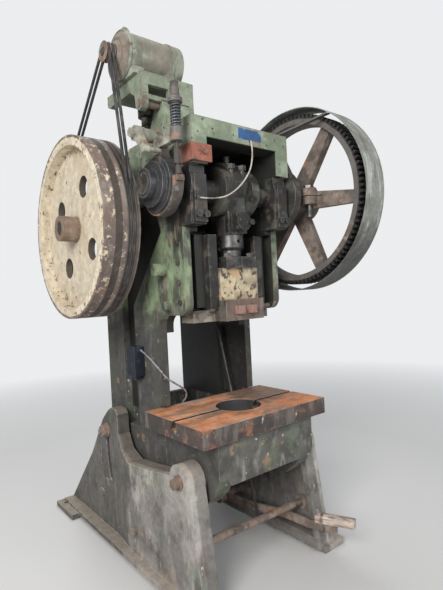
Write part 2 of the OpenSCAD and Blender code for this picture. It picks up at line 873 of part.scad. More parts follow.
// Jack screw under the motor plate: it holds the belts tight
module plate_screw() {
    x = -cheek_x + 40;
    y = hinge_y + 175;
    color([0.3, 0.28, 0.26]) {
        bar_z(x, y, crown_z + gap, plate_top - 22 - gap, 30);
        translate([x, y, crown_z + gap]) hexagon(50, 34);
        translate([x, y, hinge_z - 26]) hexagon(60, 34);
        bar_z(x, y, hinge_z + 14, hinge_z + 58, 92);
    }
}

// Motor body between its end bells, with two feet across it
bell_x0 = motor_x0 + 14;
bell_x1 = motor_x1 - 76;
foot_z = motor_z - motor_d / 2 + 26;
foot_places = [motor_x0 + 16, bell_x1 - 52];
module motor_body() {
    foot_w = 114;
    color([0.5, 0.58, 0.45])
    difference() {
        union() {
            bar_x(bell_x0 + gap, bell_x1 - gap, motor_y, motor_z, motor_d);
            for (x = foot_places)
                block([x, motor_y - foot_w, plate_top + gap], [x + 50, motor_y + foot_w, foot_z]);
        }
        bar_x(motor_x0, motor_x1, motor_y, motor_z, motor_d - 60);
    }
}

// Cast end bells: a stepped cone round the shaft on the left, a domed cover on the right
module motor_bells() {
    rim_d = motor_d + 8;
    color([0.5, 0.55, 0.42]) {
        difference() {
            union() {
                bar_x(motor_x0, bell_x0, motor_y, motor_z, rim_d);
                translate([motor_x0 - 16, motor_y, motor_z]) rotate([0, 90, 0])
                    cylinder(h = 17, d1 = rim_d - 72, d2 = rim_d - 18);
                translate([motor_x0 - 28, motor_y, motor_z]) rotate([0, 90, 0])
                    cylinder(h = 13, d1 = 96, d2 = 128);
            }
            bar_x(motor_x0 - 30, bell_x0 + 1, motor_y, motor_z, shaft_dia + 2 * run);
        }
        difference() {
            union() {
                bar_x(bell_x1, motor_x1 - 16, motor_y, motor_z, rim_d);
                translate([motor_x1 - 17, motor_y, motor_z]) rotate([0, 90, 0])
                    cylinder(h = 17, d1 = rim_d - 6, d2 = motor_d - 70);
                // Lip where the cover is screwed on
                bar_x(bell_x1, bell_x1 + 12, motor_y, motor_z, rim_d + 3);
            }
            bar_x(bell_x1 - 1, motor_x1 - 30, motor_y, motor_z, shaft_dia + 2 * run);
        }
    }
}

module motor_bolts() {
    color([0.4, 0.38, 0.34])
    for (x = foot_places, y = [motor_y - 100, motor_y + 100])
        translate([x + 26, y, foot_z + gap]) hexagon(19, 10);
}

shaft_dia = 36;
module motor_shaft() {
    color([0.5, 0.48, 0.46]) {
        bar_x(-513, motor_x1 - 32, motor_y, motor_z, shaft_dia);
        bar_x(bell_x0 + 30, bell_x1 - 20, motor_y, motor_z, 130);
    }
}

// Two-groove pulley section along its axis, as radius against X
module grooved_rim(r_in, r_out, x0, x1, depth) {
    rotate([0, 90, 0])
    rotate_extrude()
    polygon(concat([[r_in, x0], [r_out, x0]],
        [for (x = belt_x) each [[r_out, x - 8.5], [r_out - depth, x - 5.5],
            [r_out - depth, x + 5.5], [r_out, x + 8.5]]],
        [[r_out, x1], [r_in, x1]]));
}

module motor_pulley() {
    color([0.42, 0.28, 0.24])
    translate([0, motor_y, motor_z])
    grooved_rim(shaft_dia / 2 + run, pulley_d / 2, -507, -462, belt_h + 4);
}

// V-belt: an arc round each wheel and two straight runs between the tangent points
module belt_arc(centre, r, a0, a1) {
    far = 2 * r;
    translate(centre)
    intersection() {
        difference() {
            circle(r = r, $fn = 180);
            circle(r = r - belt_h, $fn = 180);
        }
        polygon([[0, 0], for (k = [0 : 4]) far * [cos(a0 + (a1 - a0) * k / 4), sin(a0 + (a1 - a0) * k / 4)]]);
    }
}

// A straight run is a little thinner than the arcs, so that it doesn't end on their tangent
module belt_run(centre, r, length, a, side) {
    inset = 0.15;
    translate(centre)
    rotate(a)
    translate([-1, side > 0 ? r - belt_h + inset : -r + inset])
    square([length + 2, belt_h - 2 * inset]);
}

module belt(x) {
    r1 = flywheel_r - 3;
    r2 = pulley_d / 2 - 3;
    c1 = [shaft_y, shaft_z];
    way = [motor_y, motor_z] - c1;
    a = atan2(way[1], way[0]);
    b = acos((r1 - r2) / norm(way));
    length = norm(way) * sin(b);
    color([0.13, 0.13, 0.14])
    side_plate(x - 5, x + 5) {
        belt_arc(c1, r1, a + b, a - b + 360);
        belt_arc([motor_y, motor_z], r2, a - b, a + b);
        belt_run(c1, r1, length, a + b - 90, 1);
        belt_run(c1, r1, length, a - b + 90, -1);
    }
}

module belt_1() {
    belt(belt_x[0]);
}

module belt_2() {
    belt(belt_x[1]);
}

// Switch box on the left cheek and its lead
box_y0 = -165;
box_y1 = -40;
box_z0 = 908;
box_z1 = 1078;
module switch_box() {
    color([0.05, 0.06, 0.08]) {
        block([-cheek_x - 60, box_y0, box_z0 + 20], [-cheek_x - gap, box_y1 - 40, box_z1]);
        block([-cheek_x - 45, box_y0 + 20, box_z0], [-cheek_x - gap, box_y1 - 50, box_z0 + 21]);
        bar_y(-cheek_x - 30, box_y0 - 12, box_y0 + 1, box_z1 - 16, 22);
    }
}

// Route of the lead: out of the gland, down across the cheek, round its edge to behind the bolster
cord_r = 4.5;
cord_path = [[-325, -177.4, 1062], [-325, -184, 1061], [-323, -200, 1054], [-319, -226, 1040], [-313, -262, 1018],
    [-308, -300, 992], [-303, -336, 968], [-296, -350, 950], [-284, -356, 934], [-268, -358, 920],
    [-250, -360, 907], [-230, -360, 893], [-208, -358, 879], [-186, -352, 862], [-168, -342, 842],
    [-158, -326, 820], [-153, -308, 802], [-151, -289, 789], [-150, -278, 776]];
module switch_cable() {
    color([0.5, 0.5, 0.5])
    tube(cord_path, cord_r, 8);
}

module crankshaft() {
    color([0.3, 0.3, 0.3])
    difference() {
        union() {
            bar_x(-cheek_x - 8, -web_x0, press_y, crank_z, journal_d);
            bar_x(web_x0, cheek_x + 8, press_y, crank_z, journal_d);
            bar_x(-470, -cheek_x, press_y, crank_z, 84);
            bar_x(cheek_x, gear_back + 40, press_y, crank_z, 90);
            for (s = [-1, 1])
                bar_x(min(s * web_x0, s * web_x1), max(s * web_x0, s * web_x1), press_y, crank_z, 2 * web_r);
            bar_x(-web_x0 - 1, web_x0 + 1, press_y, head_z, crankpin_d);
        }
        block([-480, press_y - 7, crank_z + 30], [-340, press_y + 7, crank_z + 50]);
    }
}

module brake_drum() {
    color([0.2, 0.2, 0.21])
    difference() {
        union() {
            bar_x(-470, -430, press_y, crank_z, 128);
            bar_x(-432, -408, press_y, crank_z, 196);
            bar_x(-410, -340, press_y, crank_z, drum_d);
        }
        bar_x(-480, -330, press_y, crank_z, 84 + 2 * run);
        block([-480, press_y - 7 - run, crank_z], [-330, press_y + 7 + run, crank_z + 50]);
        difference() {
            bar_x(-471, -462, press_y, crank_z, 108);
            bar_x(-472, -461, press_y, crank_z, 96);
        }
    }
}

module drum_key() {
    color([0.4, 0.4, 0.4])
    block([-468, press_y - 7, crank_z + 30 + run], [-342, press_y + 7, crank_z + 50 - run]);
}

// Clutch body keyed to the crankshaft, in steps beside the gear's hub
module clutch_body() {
    color([0.14, 0.14, 0.14])
    difference() {
        union() {
            bar_x(cheek_x + 17, cheek_x + 60, press_y, crank_z, 320);
            bar_x(cheek_x + 59, cheek_x + 84, press_y, crank_z, 270);
            bar_x(cheek_x + 83, hub_x0 - gap, press_y, crank_z, 190);
        }
        bar_x(cheek_x, hub_x0 + 1, press_y, crank_z, 90 + 2 * run);
    }
}

module crank_nut() {
    x = gear_back + 14 + gap;
    color([0.35, 0.33, 0.3])
    difference() {
        union() {
            bar_x(x, x + 8, press_y, crank_z, 150);
            translate([x + 8, press_y, crank_z]) rotate([0, 90, 0]) hexagon(110, 16);
        }
        bar_x(x - 1, x + 60, press_y, crank_z, 90 + 2 * run);
    }
}

// Involute tooth flank: half angle of a tooth at radius r, with backlash
pressure = 20;
backlash = 1.2;
function involute(a) = tan(a) * 180 / PI - a;
function half_angle(r, teeth) =
    let (r0 = gear_module * teeth / 2, base = r0 * cos(pressure))
    90 / teeth - backlash / 4 * 180 / PI / r0 + involute(pressure)
        - (r > base ? involute(acos(base / r)) : 0);
module toothed_disc(teeth, turned) {
    r0 = gear_module * teeth / 2;
    radii = [r0 - 1.25 * gear_module, r0 - 0.2 * gear_module, r0 + 0.5 * gear_module, r0 + 0.97 * gear_module];
    polygon([for (k = [0 : teeth - 1]) each concat(
        [for (r = radii) let (a = 360 * k / teeth + turned - half_angle(r, teeth)) r * [cos(a), sin(a)]],
        [for (i = [3 : -1 : 0]) let (r = radii[i], a = 360 * k / teeth + turned + half_angle(r, teeth))
            r * [cos(a), sin(a)]])]);
}

// The gear has a tooth and the pinion a gap on the line between their centres
mesh_line = atan2(shaft_z - crank_z, shaft_y - press_y);
spokes = 6;
rim_in = gear_r - gear_module * 1.25 - 30;
hub_r = 105;
hub_x0 = gear_x - 46;
module gear_outline() {
    difference() {
        toothed_disc(gear_teeth, mesh_line);
        circle(r = rim_in, $fn = 180);
    }
}

// Cross-shaped spoke: a wide flat arm with a rib down its back
module spoke(turned) {
    translate([0, press_y, crank_z])
    rotate([turned, 0, 0]) {
        translate([gear_x + 22, 0, 0]) rotate([90, 0, 90]) linear_extrude(34)
            polygon([[hub_r - 10, -48], [rim_in + 8, -30], [rim_in + 8, 30], [hub_r - 10, 48]]);
        translate([0, 0, -14]) rotate([0, 0, 90]) mirror([0, 1, 0]) linear_extrude(28)
            polygon([[hub_r - 8, gear_x + 50], [hub_r - 8, gear_back - 6],
                [rim_in + 6, gear_back - 20], [rim_in + 6, gear_x + 50]]);
    }
}

module gear() {
    color([0.36, 0.3, 0.26])
    difference() {
        union() {
            translate([gear_x, press_y, crank_z]) rotate([90, 0, 90]) linear_extrude(gear_face) gear_outline();
            bar_x(hub_x0, gear_back + 14, press_y, crank_z, 2 * hub_r);
            for (k = [0 : spokes - 1]) spoke(k * 360 / spokes + 6);
            // Lugs of the split hub, ahead of and behind the shaft
            for (s = [-1, 1])
                bar_z(gear_x - 4, press_y + s * (hub_r + 30), crank_z - 42, crank_z + 42, 78);
        }
        bar_x(hub_x0 - 1, gear_back + 20, press_y, crank_z, 114);
        block([hub_x0 - 1, press_y - 200, crank_z - 2.5], [gear_x + 36, press_y + 200, crank_z + 2.5]);
    }
}

module gear_bush() {
    color([0.6, 0.45, 0.25])
    difference() {
        bar_x(hub_x0 + 1, gear_back + 13, press_y, crank_z, 114 - 2 * run);
        bar_x(hub_x0, gear_back + 20, press_y, crank_z, 90 + 2 * run);
    }
}

module hub_bolts() {
    color([0.5, 0.48, 0.44])
    for (s = [-1, 1])
        translate([gear_x - 4, press_y + s * (hub_r + 30), crank_z]) {
            translate([0, 0, 42 + gap]) hexagon(44, 16);
            translate([0, 0, -42 - gap - 30]) cylinder(h = 30, d = 30);
            translate([0, 0, -42 - gap - 66]) cylinder(h = 36, d1 = 50, d2 = 38);
        }
}

module countershaft() {
    color([0.42, 0.4, 0.38]) {
        bar_x(flywheel_x0 - 30, gear_back + 44, shaft_y, shaft_z, countershaft_d);
        bar_x(-cheek_in + 20, cheek_in - 20, shaft_y, shaft_z, countershaft_d + 16);
    }
}

module shaft_bearings() {
    color([0.6, 0.45, 0.25])
    for (x = [[boss_left + 2, -cheek_in - 2], [cheek_in + 2, boss_right - 2]])
        difference() {
            bar_x(x[0], x[1], shaft_y, shaft_z, countershaft_d + 30 - 2 * run);
            bar_x(x[0] - 1, x[1] + 1, shaft_y, shaft_z, countershaft_d + 2 * run);
        }
}

// Flywheel: deep rim with two belt grooves, dished web with four round holes
flywheel_rim_t = 48;
web_hole_d = 104;
web_x = flywheel_x0 + 50;
module flywheel() {
    color([0.8, 0.72, 0.55])
    difference() {
        union() {
            translate([0, shaft_y, shaft_z]) difference() {
                grooved_rim(flywheel_r - flywheel_rim_t, flywheel_r, flywheel_x0, flywheel_x1, belt_h + 5);
            }
            bar_x(web_x, web_x + 34, shaft_y, shaft_z, 2 * (flywheel_r - flywheel_rim_t) + 1);
            bar_x(flywheel_x0 - 36, flywheel_x1 + 20, shaft_y, shaft_z, 124);
        }
        bar_x(flywheel_x0 - 40, flywheel_x1 + 30, shaft_y, shaft_z, countershaft_d + 2 * run);
        for (a = [32, 122, 212, 302])
            translate([0, shaft_y, shaft_z]) rotate([a, 0, 0])
            bar_x(web_x - 1, web_x + 40, 222, 0, web_hole_d);
    }
}

module pinion() {
    color([0.3, 0.28, 0.26])
    translate([gear_x - 2, shaft_y, shaft_z])
    rotate([90, 0, 90])
    linear_extrude(gear_face + 4)
    difference() {
        toothed_disc(pinion_teeth, mesh_line + 180 + 180 / pinion_teeth);
        circle(d = countershaft_d + 2 * run);
    }
}

module shaft_nuts() {
    color([0.4, 0.34, 0.3])
    difference() {
        translate([gear_back + 2 + gap, shaft_y, shaft_z]) rotate([0, 90, 0]) hexagon(100, 30);
        bar_x(gear_back, gear_back + 60, shaft_y, shaft_z, countershaft_d + 2 * run);
    }
}

// Slide: body with side ways, wide bottom flange and a ball seat in its top
socket_r = 54;
ball_z = slide_z1 - 4;
module slide() {
    color([0.76, 0.7, 0.52])
    difference() {
        union() {
            block([-slide_w / 2, slide_y0, slide_z0], [slide_w / 2, slide_y1, slide_z1]);
            block([-way_x, press_y - 16, slide_z0 + 50], [way_x, press_y + 70, slide_z1]);
            block([-flange_x, press_y + 8, slide_z0], [flange_x, press_y + 105, slide_z0 + 56]);
        }
        // Seat of the shank clamp, and the back half of the shank hole
        block([-slide_w / 2 - 1, slide_y0 - 60, slide_z0 - 1], [slide_w / 2 + 1, press_y, slide_z0 + 100]);
        bar_z(0, press_y, slide_z0 - 1, slide_z0 + 100, shank_d);
        translate([0, press_y, ball_z]) sphere(r = socket_r + gap);
        // Slot in each side for the knockout bar
        block([-slide_w, press_y + 20, slide_z0 + 60], [slide_w, press_y + 50, slide_z0 + 160]);
    }
}

module shank_clamp() {
    front = slide_y0 - 35;
    color([0.45, 0.34, 0.28]) {
        difference() {
            block([-slide_w / 2, front, slide_z0 + 2], [slide_w / 2, press_y - gap, slide_z0 + 100 - gap]);
            bar_z(0, press_y, slide_z0, slide_z0 + 101, shank_d);
        }
        // Square-headed set bolts
        for (x = [-45, 30])
            block([x - 18, front - 30, slide_z0 + 34], [x + 18, front + 1, slide_z0 + 70]);
        bar_x(slide_w / 2 - 1, slide_w / 2 + 60, slide_y0 - 8, slide_z0 + 62, 20);
    }
}

module ball_cap() {
    z0 = slide_z1 + gap;
    color([0.4, 0.4, 0.38])
    difference() {
        union() {
            block([-92, press_y - 78, z0], [92, press_y + 78, z0 + 52]);
            for (x = [-70, 70], y = [press_y - 56, press_y + 56])
                translate([x, y, z0 + 52]) hexagon(30, 18);
        }
        translate([0, press_y, ball_z]) sphere(r = socket_r + gap);
        bar_z(0, press_y, z0, z0 + 60, screw_d + 8);
        block([-1.5, press_y - 100, z0 - 1], [1.5, press_y - 30, z0 + 60]);
    }
}

module ball_screw() {
    color([0.32, 0.32, 0.33]) {
        translate([0, press_y, ball_z]) sphere(r = socket_r);
        bar_z(0, press_y, ball_z, head_z - 120, screw_d);
        bar_z(0, press_y, slide_z1 + 58, slide_z1 + 84, screw_d + 24);
    }
}

module lock_nut() {
    z0 = slide_z1 + 100;
    color([0.3, 0.3, 0.32])
    difference() {
        union() {
            bar_z(0, press_y, z0, z0 + 58, 128);
            translate([0, press_y, z0 - 14]) cylinder(h = 14, d1 = 104, d2 = 128);
        }
        bar_z(0, press_y, z0 - 20, z0 + 70, screw_d + 2 * run);
        for (a = [0 : 90 : 270])
            translate([0, press_y, z0 + 28]) rotate([0, 90, a - 90]) cylinder(h = 80, d = 20);
    }
}

// Pitman head in the side view
head_r = 108;
head_y = press_y + crank_throw / 2;
module head_outline() {
    translate([head_y, head_z]) circle(r = head_r);
}

// Bore of the head: the crankpin swings to the back in it while the head only sinks
module pin_window() {
    bar_x(-pitman_half - 1, pitman_half + 1, head_y, head_z, crankpin_d + 2 * gap + crank_throw);
}

module pitman() {
    shank_z = head_z - 240;
    color([0.13, 0.13, 0.14])
    difference() {
        union() {
            side_plate(-pitman_half, pitman_half)
            intersection() {
                union() {
                    head_outline();
                    polygon([[press_y - 62, head_z - 20], [press_y - 62, shank_z], [press_y + 62, shank_z],
                        [press_y + 100, head_z - 60]]);
                }
                translate([press_y - 300, shank_z - 100]) square([600, head_z - shank_z + 100 - gap / 2]);
            }
            bar_z(0, press_y, shank_z - 6, shank_z + 80, 132);
            // Oval clamp pad across the split shank
            translate([0, press_y - 96, shank_z + 50]) rotate([90, 0, 0]) cylinder(h = 16, d = 84);
            block([-36, press_y - 98, shank_z + 14], [36, press_y - 40, shank_z + 86]);
            bar_y(30, press_y - 138, press_y - 90, shank_z + 44, 26);
        }
        pin_window();
        bar_z(0, press_y, shank_z - 10, head_z - 118, screw_d + 2 * run);
    }
}

module pitman_cap() {
    color([0.12, 0.12, 0.13])
    difference() {
        union() {
            side_plate(-pitman_half, pitman_half)
            intersection() {
                head_outline();
                translate([press_y - 300, head_z + gap / 2]) square([600, 300]);
            }
            // Cap bolts front and back, oil cup on the front
            for (y = [head_y - 92, head_y + 92], x = [-34, 34]) {
                bar_z(x, y, head_z + gap / 2, head_z + 66, 26);
                translate([x, y, head_z + 60]) hexagon(36, 22);
            }
            bar_z(0, head_y - 20, head_z + head_r - 16, head_z + head_r + 30, 30);
        }
        pin_window();
    }
}

left_leg();
right_leg();
tie_rod();
pivot_bolts();
clamp_bolts();
treadle_shaft();
treadle_lever();
treadle_board();
frame();
bolster();
bolster_bolts();
left_gib();
right_gib();
gib_screws();
left_bearing_cap();
right_bearing_cap();
cap_nuts();
stop_bracket();
oil_pipe();
gear_guard();
guard_stays();
brake_bracket();
brake_band();
brake_lever();
brake_rod();
brake_spring();
spring_cap();
hinge_rod();
motor_plate();
plate_screw();
motor_body();
motor_bells();
motor_bolts();
belt_1();
belt_2();
switch_box();
switch_cable();
crankshaft();
brake_drum();
drum_key();
clutch_body();
crank_nut();
gear();
gear_bush();
hub_bolts();
countershaft();
shaft_bearings();
flywheel();
pinion();
shaft_nuts();
motor_shaft();
motor_pulley();
slide();
pitman();
pitman_cap();
ball_screw();
lock_nut();
ball_cap();
shank_clamp();
pull_rod();
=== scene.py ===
import bmesh
import bpy
import math
from mathutils import Matrix, Vector


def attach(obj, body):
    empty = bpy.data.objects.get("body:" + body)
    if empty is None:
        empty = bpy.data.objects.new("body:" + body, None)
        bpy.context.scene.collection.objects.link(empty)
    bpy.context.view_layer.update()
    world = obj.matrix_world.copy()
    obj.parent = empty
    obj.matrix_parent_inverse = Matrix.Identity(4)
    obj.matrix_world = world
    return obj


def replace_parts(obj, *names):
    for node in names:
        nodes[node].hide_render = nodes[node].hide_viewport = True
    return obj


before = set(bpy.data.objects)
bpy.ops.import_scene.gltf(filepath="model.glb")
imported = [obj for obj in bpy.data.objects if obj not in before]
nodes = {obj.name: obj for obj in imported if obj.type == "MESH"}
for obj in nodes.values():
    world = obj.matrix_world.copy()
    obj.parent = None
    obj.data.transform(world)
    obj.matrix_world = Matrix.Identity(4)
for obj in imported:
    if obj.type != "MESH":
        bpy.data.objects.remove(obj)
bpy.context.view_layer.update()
bpy.ops.object.select_all(action="DESELECT")

# ---------------------------------------------------------------- camera, floor and lamps
# The camera stands at the press's left front, at eye height, as in the photograph.
eye = Vector((-1.4353, -2.2490, 1.3440))
yaw, pitch, roll = math.radians(38.67), math.radians(-0.53), math.radians(2.86)
ahead = Vector((math.sin(yaw) * math.cos(pitch), math.cos(yaw) * math.cos(pitch), math.sin(pitch)))
level = Vector((math.cos(yaw), -math.sin(yaw), 0))
down = ahead.cross(level)
right = level * math.cos(roll) + down * math.sin(roll)
below = down * math.cos(roll) - level * math.sin(roll)
camera = bpy.data.objects.new("camera", bpy.data.cameras.new("camera"))
bpy.context.scene.collection.objects.link(camera)
camera.matrix_world = Matrix((
    (right.x, -below.x, -ahead.x, eye.x),
    (right.y, -below.y, -ahead.y, eye.y),
    (right.z, -below.z, -ahead.z, eye.z),
    (0, 0, 0, 1)))
camera.data.sensor_fit = "VERTICAL"
sensor, focal_pixels, picture_pixels = 36, 453.4, 590
camera.data.sensor_height = sensor
camera.data.lens = sensor * focal_pixels / picture_pixels
camera.data.clip_end = 200
bpy.context.scene.camera = camera
bpy.context.scene.view_settings.view_transform = "Standard"

bpy.ops.mesh.primitive_plane_add(size=80, location=(0, 0, -0.002))
floor = bpy.context.active_object
floor.name = "studio_floor"
floor_paint = bpy.data.materials.new("pale_floor")
floor_paint.use_nodes = True
floor_tree = floor_paint.node_tree
matt = floor_tree.nodes["Principled BSDF"]
matt.inputs["Base Color"].default_value = (0.62, 0.61, 0.60, 1)
matt.inputs["Roughness"].default_value = 0.9
# Far away the floor shows the backdrop's own colour, so no horizon is seen
backdrop_colour = (0.84, 0.85, 0.86, 1)
fade_from, fade_to = 2.2, 6.0
far_floor = floor_tree.nodes.new("ShaderNodeEmission")
far_floor.inputs["Color"].default_value = backdrop_colour
spread = floor_tree.nodes.new("ShaderNodeTexCoord")
reach = floor_tree.nodes.new("ShaderNodeVectorMath")
reach.operation = "LENGTH"
fade = floor_tree.nodes.new("ShaderNodeMapRange")
fade.inputs[1].default_value = fade_from
fade.inputs[2].default_value = fade_to
by_camera = floor_tree.nodes.new("ShaderNodeLightPath")
shown = floor_tree.nodes.new("ShaderNodeMath")
shown.operation = "MULTIPLY"
blend = floor_tree.nodes.new("ShaderNodeMixShader")
floor_tree.links.new(spread.outputs["Object"], reach.inputs[0])
floor_tree.links.new(reach.outputs["Value"], fade.inputs[0])
floor_tree.links.new(fade.outputs[0], shown.inputs[0])
floor_tree.links.new(by_camera.outputs["Is Camera Ray"], shown.inputs[1])
floor_tree.links.new(shown.outputs[0], blend.inputs[0])
floor_tree.links.new(matt.outputs[0], blend.inputs[1])
floor_tree.links.new(far_floor.outputs[0], blend.inputs[2])
floor_tree.links.new(blend.outputs[0], floor_tree.nodes["Material Output"].inputs["Surface"])
floor.data.materials.append(floor_paint)

world = bpy.data.worlds.new("soft_room")
bpy.context.scene.world = world
world.use_nodes = True
tree = world.node_tree
room = tree.nodes["Background"]
room.inputs["Color"].default_value = (0.93, 0.96, 1.0, 1)
room.inputs["Strength"].default_value = 0.36
backdrop = tree.nodes.new("ShaderNodeBackground")
backdrop.inputs["Color"].default_value = backdrop_colour
backdrop.inputs["Strength"].default_value = 1.0
seen = tree.nodes.new("ShaderNodeLightPath")
swap = tree.nodes.new("ShaderNodeMixShader")
tree.links.new(seen.outputs["Is Camera Ray"], swap.inputs[0])
tree.links.new(room.outputs[0], swap.inputs[1])
tree.links.new(backdrop.outputs[0], swap.inputs[2])
tree.links.new(swap.outputs[0], tree.nodes["World Output"].inputs["Surface"])


def lamp(name, place, aim, size, power, colour):
    """A square lamp at a place, turned towards the point that it lights."""
    bpy.ops.object.light_add(type="AREA", location=place)
    light = bpy.context.active_object
    light.name = name
    light.data.shape = "SQUARE"
    light.data.size = size
    light.data.energy = power
    light.data.color = colour
    light.rotation_euler = (Vector(aim) - Vector(place)).to_track_quat("-Z", "Y").to_euler()


lamp("window_light", (-4.6, -3.4, 3.6), (0, -0.3, 1.1), 2.6, 330, (1.0, 0.985, 0.96))
lamp("door_light", (0.6, -5.5, 2.6), (0, -0.4, 1.2), 3.0, 90, (0.95, 0.98, 1.0))
lamp("roof_light", (0.5, 2.4, 5.0), (0, 0, 1.4), 3.0, 120, (0.95, 0.98, 1.0))

# ---------------------------------------------------------------- the switch box's lead
# A grey lead comes out of the gland high on the box's front, sags across the left cheek and round its front edge,
# and goes down behind the bolster's back edge. It takes its sheath's finish further down, with the box.
lead_route = [
    (-0.325, -0.1774, 1.062), (-0.325, -0.184, 1.061), (-0.323, -0.200, 1.054), (-0.319, -0.226, 1.040),
    (-0.313, -0.262, 1.018), (-0.308, -0.300, 0.992), (-0.303, -0.336, 0.968), (-0.296, -0.350, 0.950),
    (-0.284, -0.356, 0.934), (-0.268, -0.358, 0.920), (-0.250, -0.360, 0.907), (-0.230, -0.360, 0.893),
    (-0.208, -0.358, 0.879), (-0.186, -0.352, 0.862), (-0.168, -0.342, 0.842), (-0.158, -0.326, 0.820),
    (-0.153, -0.308, 0.802), (-0.151, -0.289, 0.789), (-0.150, -0.278, 0.776),
]


def bent_line(route, steps):
    """A smooth line through the points of a route."""
    spots = [Vector(spot) for spot in route]
    line = []
    for k in range(len(spots) - 1):
        p1, p2 = spots[k], spots[k + 1]
        p0 = spots[k - 1] if k else 2 * p1 - p2
        p3 = spots[k + 2] if k + 2 < len(spots) else 2 * p2 - p1
        for t in (j / steps for j in range(steps)):
            bow = (2 * p0 - 5 * p1 + 4 * p2 - p3) * t ** 2 + (3 * p1 - p0 - 3 * p2 + p3) * t ** 3
            line.append(0.5 * (2 * p1 + (p2 - p0) * t + bow))
    return line + [spots[-1]]


def ring_of(made, centre, radius, side, other, sides):
    """A ring of corners round a centre, in the plane of two directions."""
    turns = [2 * math.pi * j / sides for j in range(sides)]
    return [made.verts.new(centre + radius * (math.cos(a) * side + math.sin(a) * other)) for a in turns]


def join_rings(made, rings, smooth, closed_ends=True):
    """Faces between each ring and the next, and one over each end unless the ends are left open."""
    for first, second in zip(rings, rings[1:]):
        for j in range(len(first)):
            near = (j + 1) % len(first)
            made.faces.new((first[j], first[near], second[near], second[j])).smooth = smooth
    if closed_ends:
        made.faces.new(list(reversed(rings[0])))
        made.faces.new(rings[-1])


def new_piece(name, made, material):
    """A finished mesh becomes a piece of its own, in its material if it has one yet."""
    mesh = bpy.data.meshes.new(name)
    made.to_mesh(mesh)
    made.free()
    if material:
        mesh.materials.append(material)
    piece = bpy.data.objects.new(name, mesh)
    bpy.context.scene.collection.objects.link(piece)
    return piece


def round_tube(name, line, radius, material, body, sides=12):
    """A closed round wire or pipe along a line of points, each ring square to the line there."""
    made = bmesh.new()
    rings = []
    side = (line[1] - line[0]).orthogonal()
    for k, spot in enumerate(line):
        ahead = (line[min(k + 1, len(line) - 1)] - line[max(k - 1, 0)]).normalized()
        side = (side - ahead * side.dot(ahead)).normalized()
        rings.append(ring_of(made, spot, radius, side, ahead.cross(side), sides))
    join_rings(made, rings, True)
    piece = new_piece(name, made, material)
    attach(piece, body)
    return piece


lead_line = bent_line(lead_route, 4)
switch_lead = round_tube("switch_lead", lead_line, 0.0045, None, "frame_body", 10)
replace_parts(switch_lead, "switch_cable")

# ---------------------------------------------------------------- cast legs
# Two grey iron castings with a web, a rim and a foot flange. The shop's paint has worn to a chalky grey with green
# left in the hollows, and dust, scuffs and rust lie over it. Painted shade darkens their backs, their inner sides and a
# fold on the outer face, and a painted highlight lightens their front tops. They are bolted to the floor through their
# feet.
# The finish that they share with every later piece is made here first.


def shader_group(name, ins):
    """A group of shader nodes with these inputs, each a name, a kind and a value, and one mask out."""
    tree = bpy.data.node_groups.new(name, "ShaderNodeTree")
    for label, kind, value in ins:
        socket = tree.interface.new_socket(name=label, in_out="INPUT", socket_type="NodeSocket" + kind)
        if value is not None:
            socket.default_value = value
    tree.interface.new_socket(name="Mask", in_out="OUTPUT", socket_type="NodeSocketFloat")
    return tree, tree.nodes.new("NodeGroupInput").outputs, tree.nodes.new("NodeGroupOutput").inputs


def node(tree, kind, settings=None, **sockets):
    """A shader node; its sockets are given by name, or by number as i0, i1 and so on."""
    made = tree.nodes.new("ShaderNode" + kind)
    for key, value in (settings or {}).items():
        setattr(made, key, value)
    for key, value in sockets.items():
        socket = made.inputs[int(key[1:])] if key[0] == "i" and key[1:].isdigit() else made.inputs[key]
        if isinstance(value, bpy.types.NodeSocket):
            tree.links.new(value, socket)
        else:
            socket.default_value = value
    return made


def maths(tree, operation, a, b=0.0, c=0.0):
    """One sum on sockets or plain values."""
    return node(tree, "Math", {"operation": operation}, i0=a, i1=b, i2=c).outputs[0]


def rising(tree, value, low, high):
    """A soft step from 0 at the low value to 1 at the high one."""
    return node(tree, "MapRange", {"interpolation_type": "SMOOTHSTEP"}, i0=value, i1=low, i2=high).outputs[0]


# Patches of lost or laid-on colour: cloudy noise cut at a level
patches, inn, out = shader_group("patches", [("Place", "Vector", None), ("Scale", "Float", 8), ("Level", "Float", 0.5),
    ("Soft", "Float", 0.05), ("Grain", "Float", 0.6), ("Stretch", "Vector", (1, 1, 1)), ("Shift", "Float", 0)])
spot = node(patches, "VectorMath", {"operation": "MULTIPLY"}, i0=inn["Place"], i1=inn["Stretch"]).outputs[0]
spot = node(patches, "VectorMath", {"operation": "ADD"}, i0=spot, i1=inn["Shift"]).outputs[0]
cloud = node(patches, "TexNoise", Vector=spot, Scale=inn["Scale"], Detail=7.0, Roughness=inn["Grain"]).outputs[0]
low = maths(patches, "SUBTRACT", inn["Level"], inn["Soft"])
high = maths(patches, "ADD", inn["Level"], inn["Soft"])
patches.links.new(rising(patches, cloud, low, high), out["Mask"])

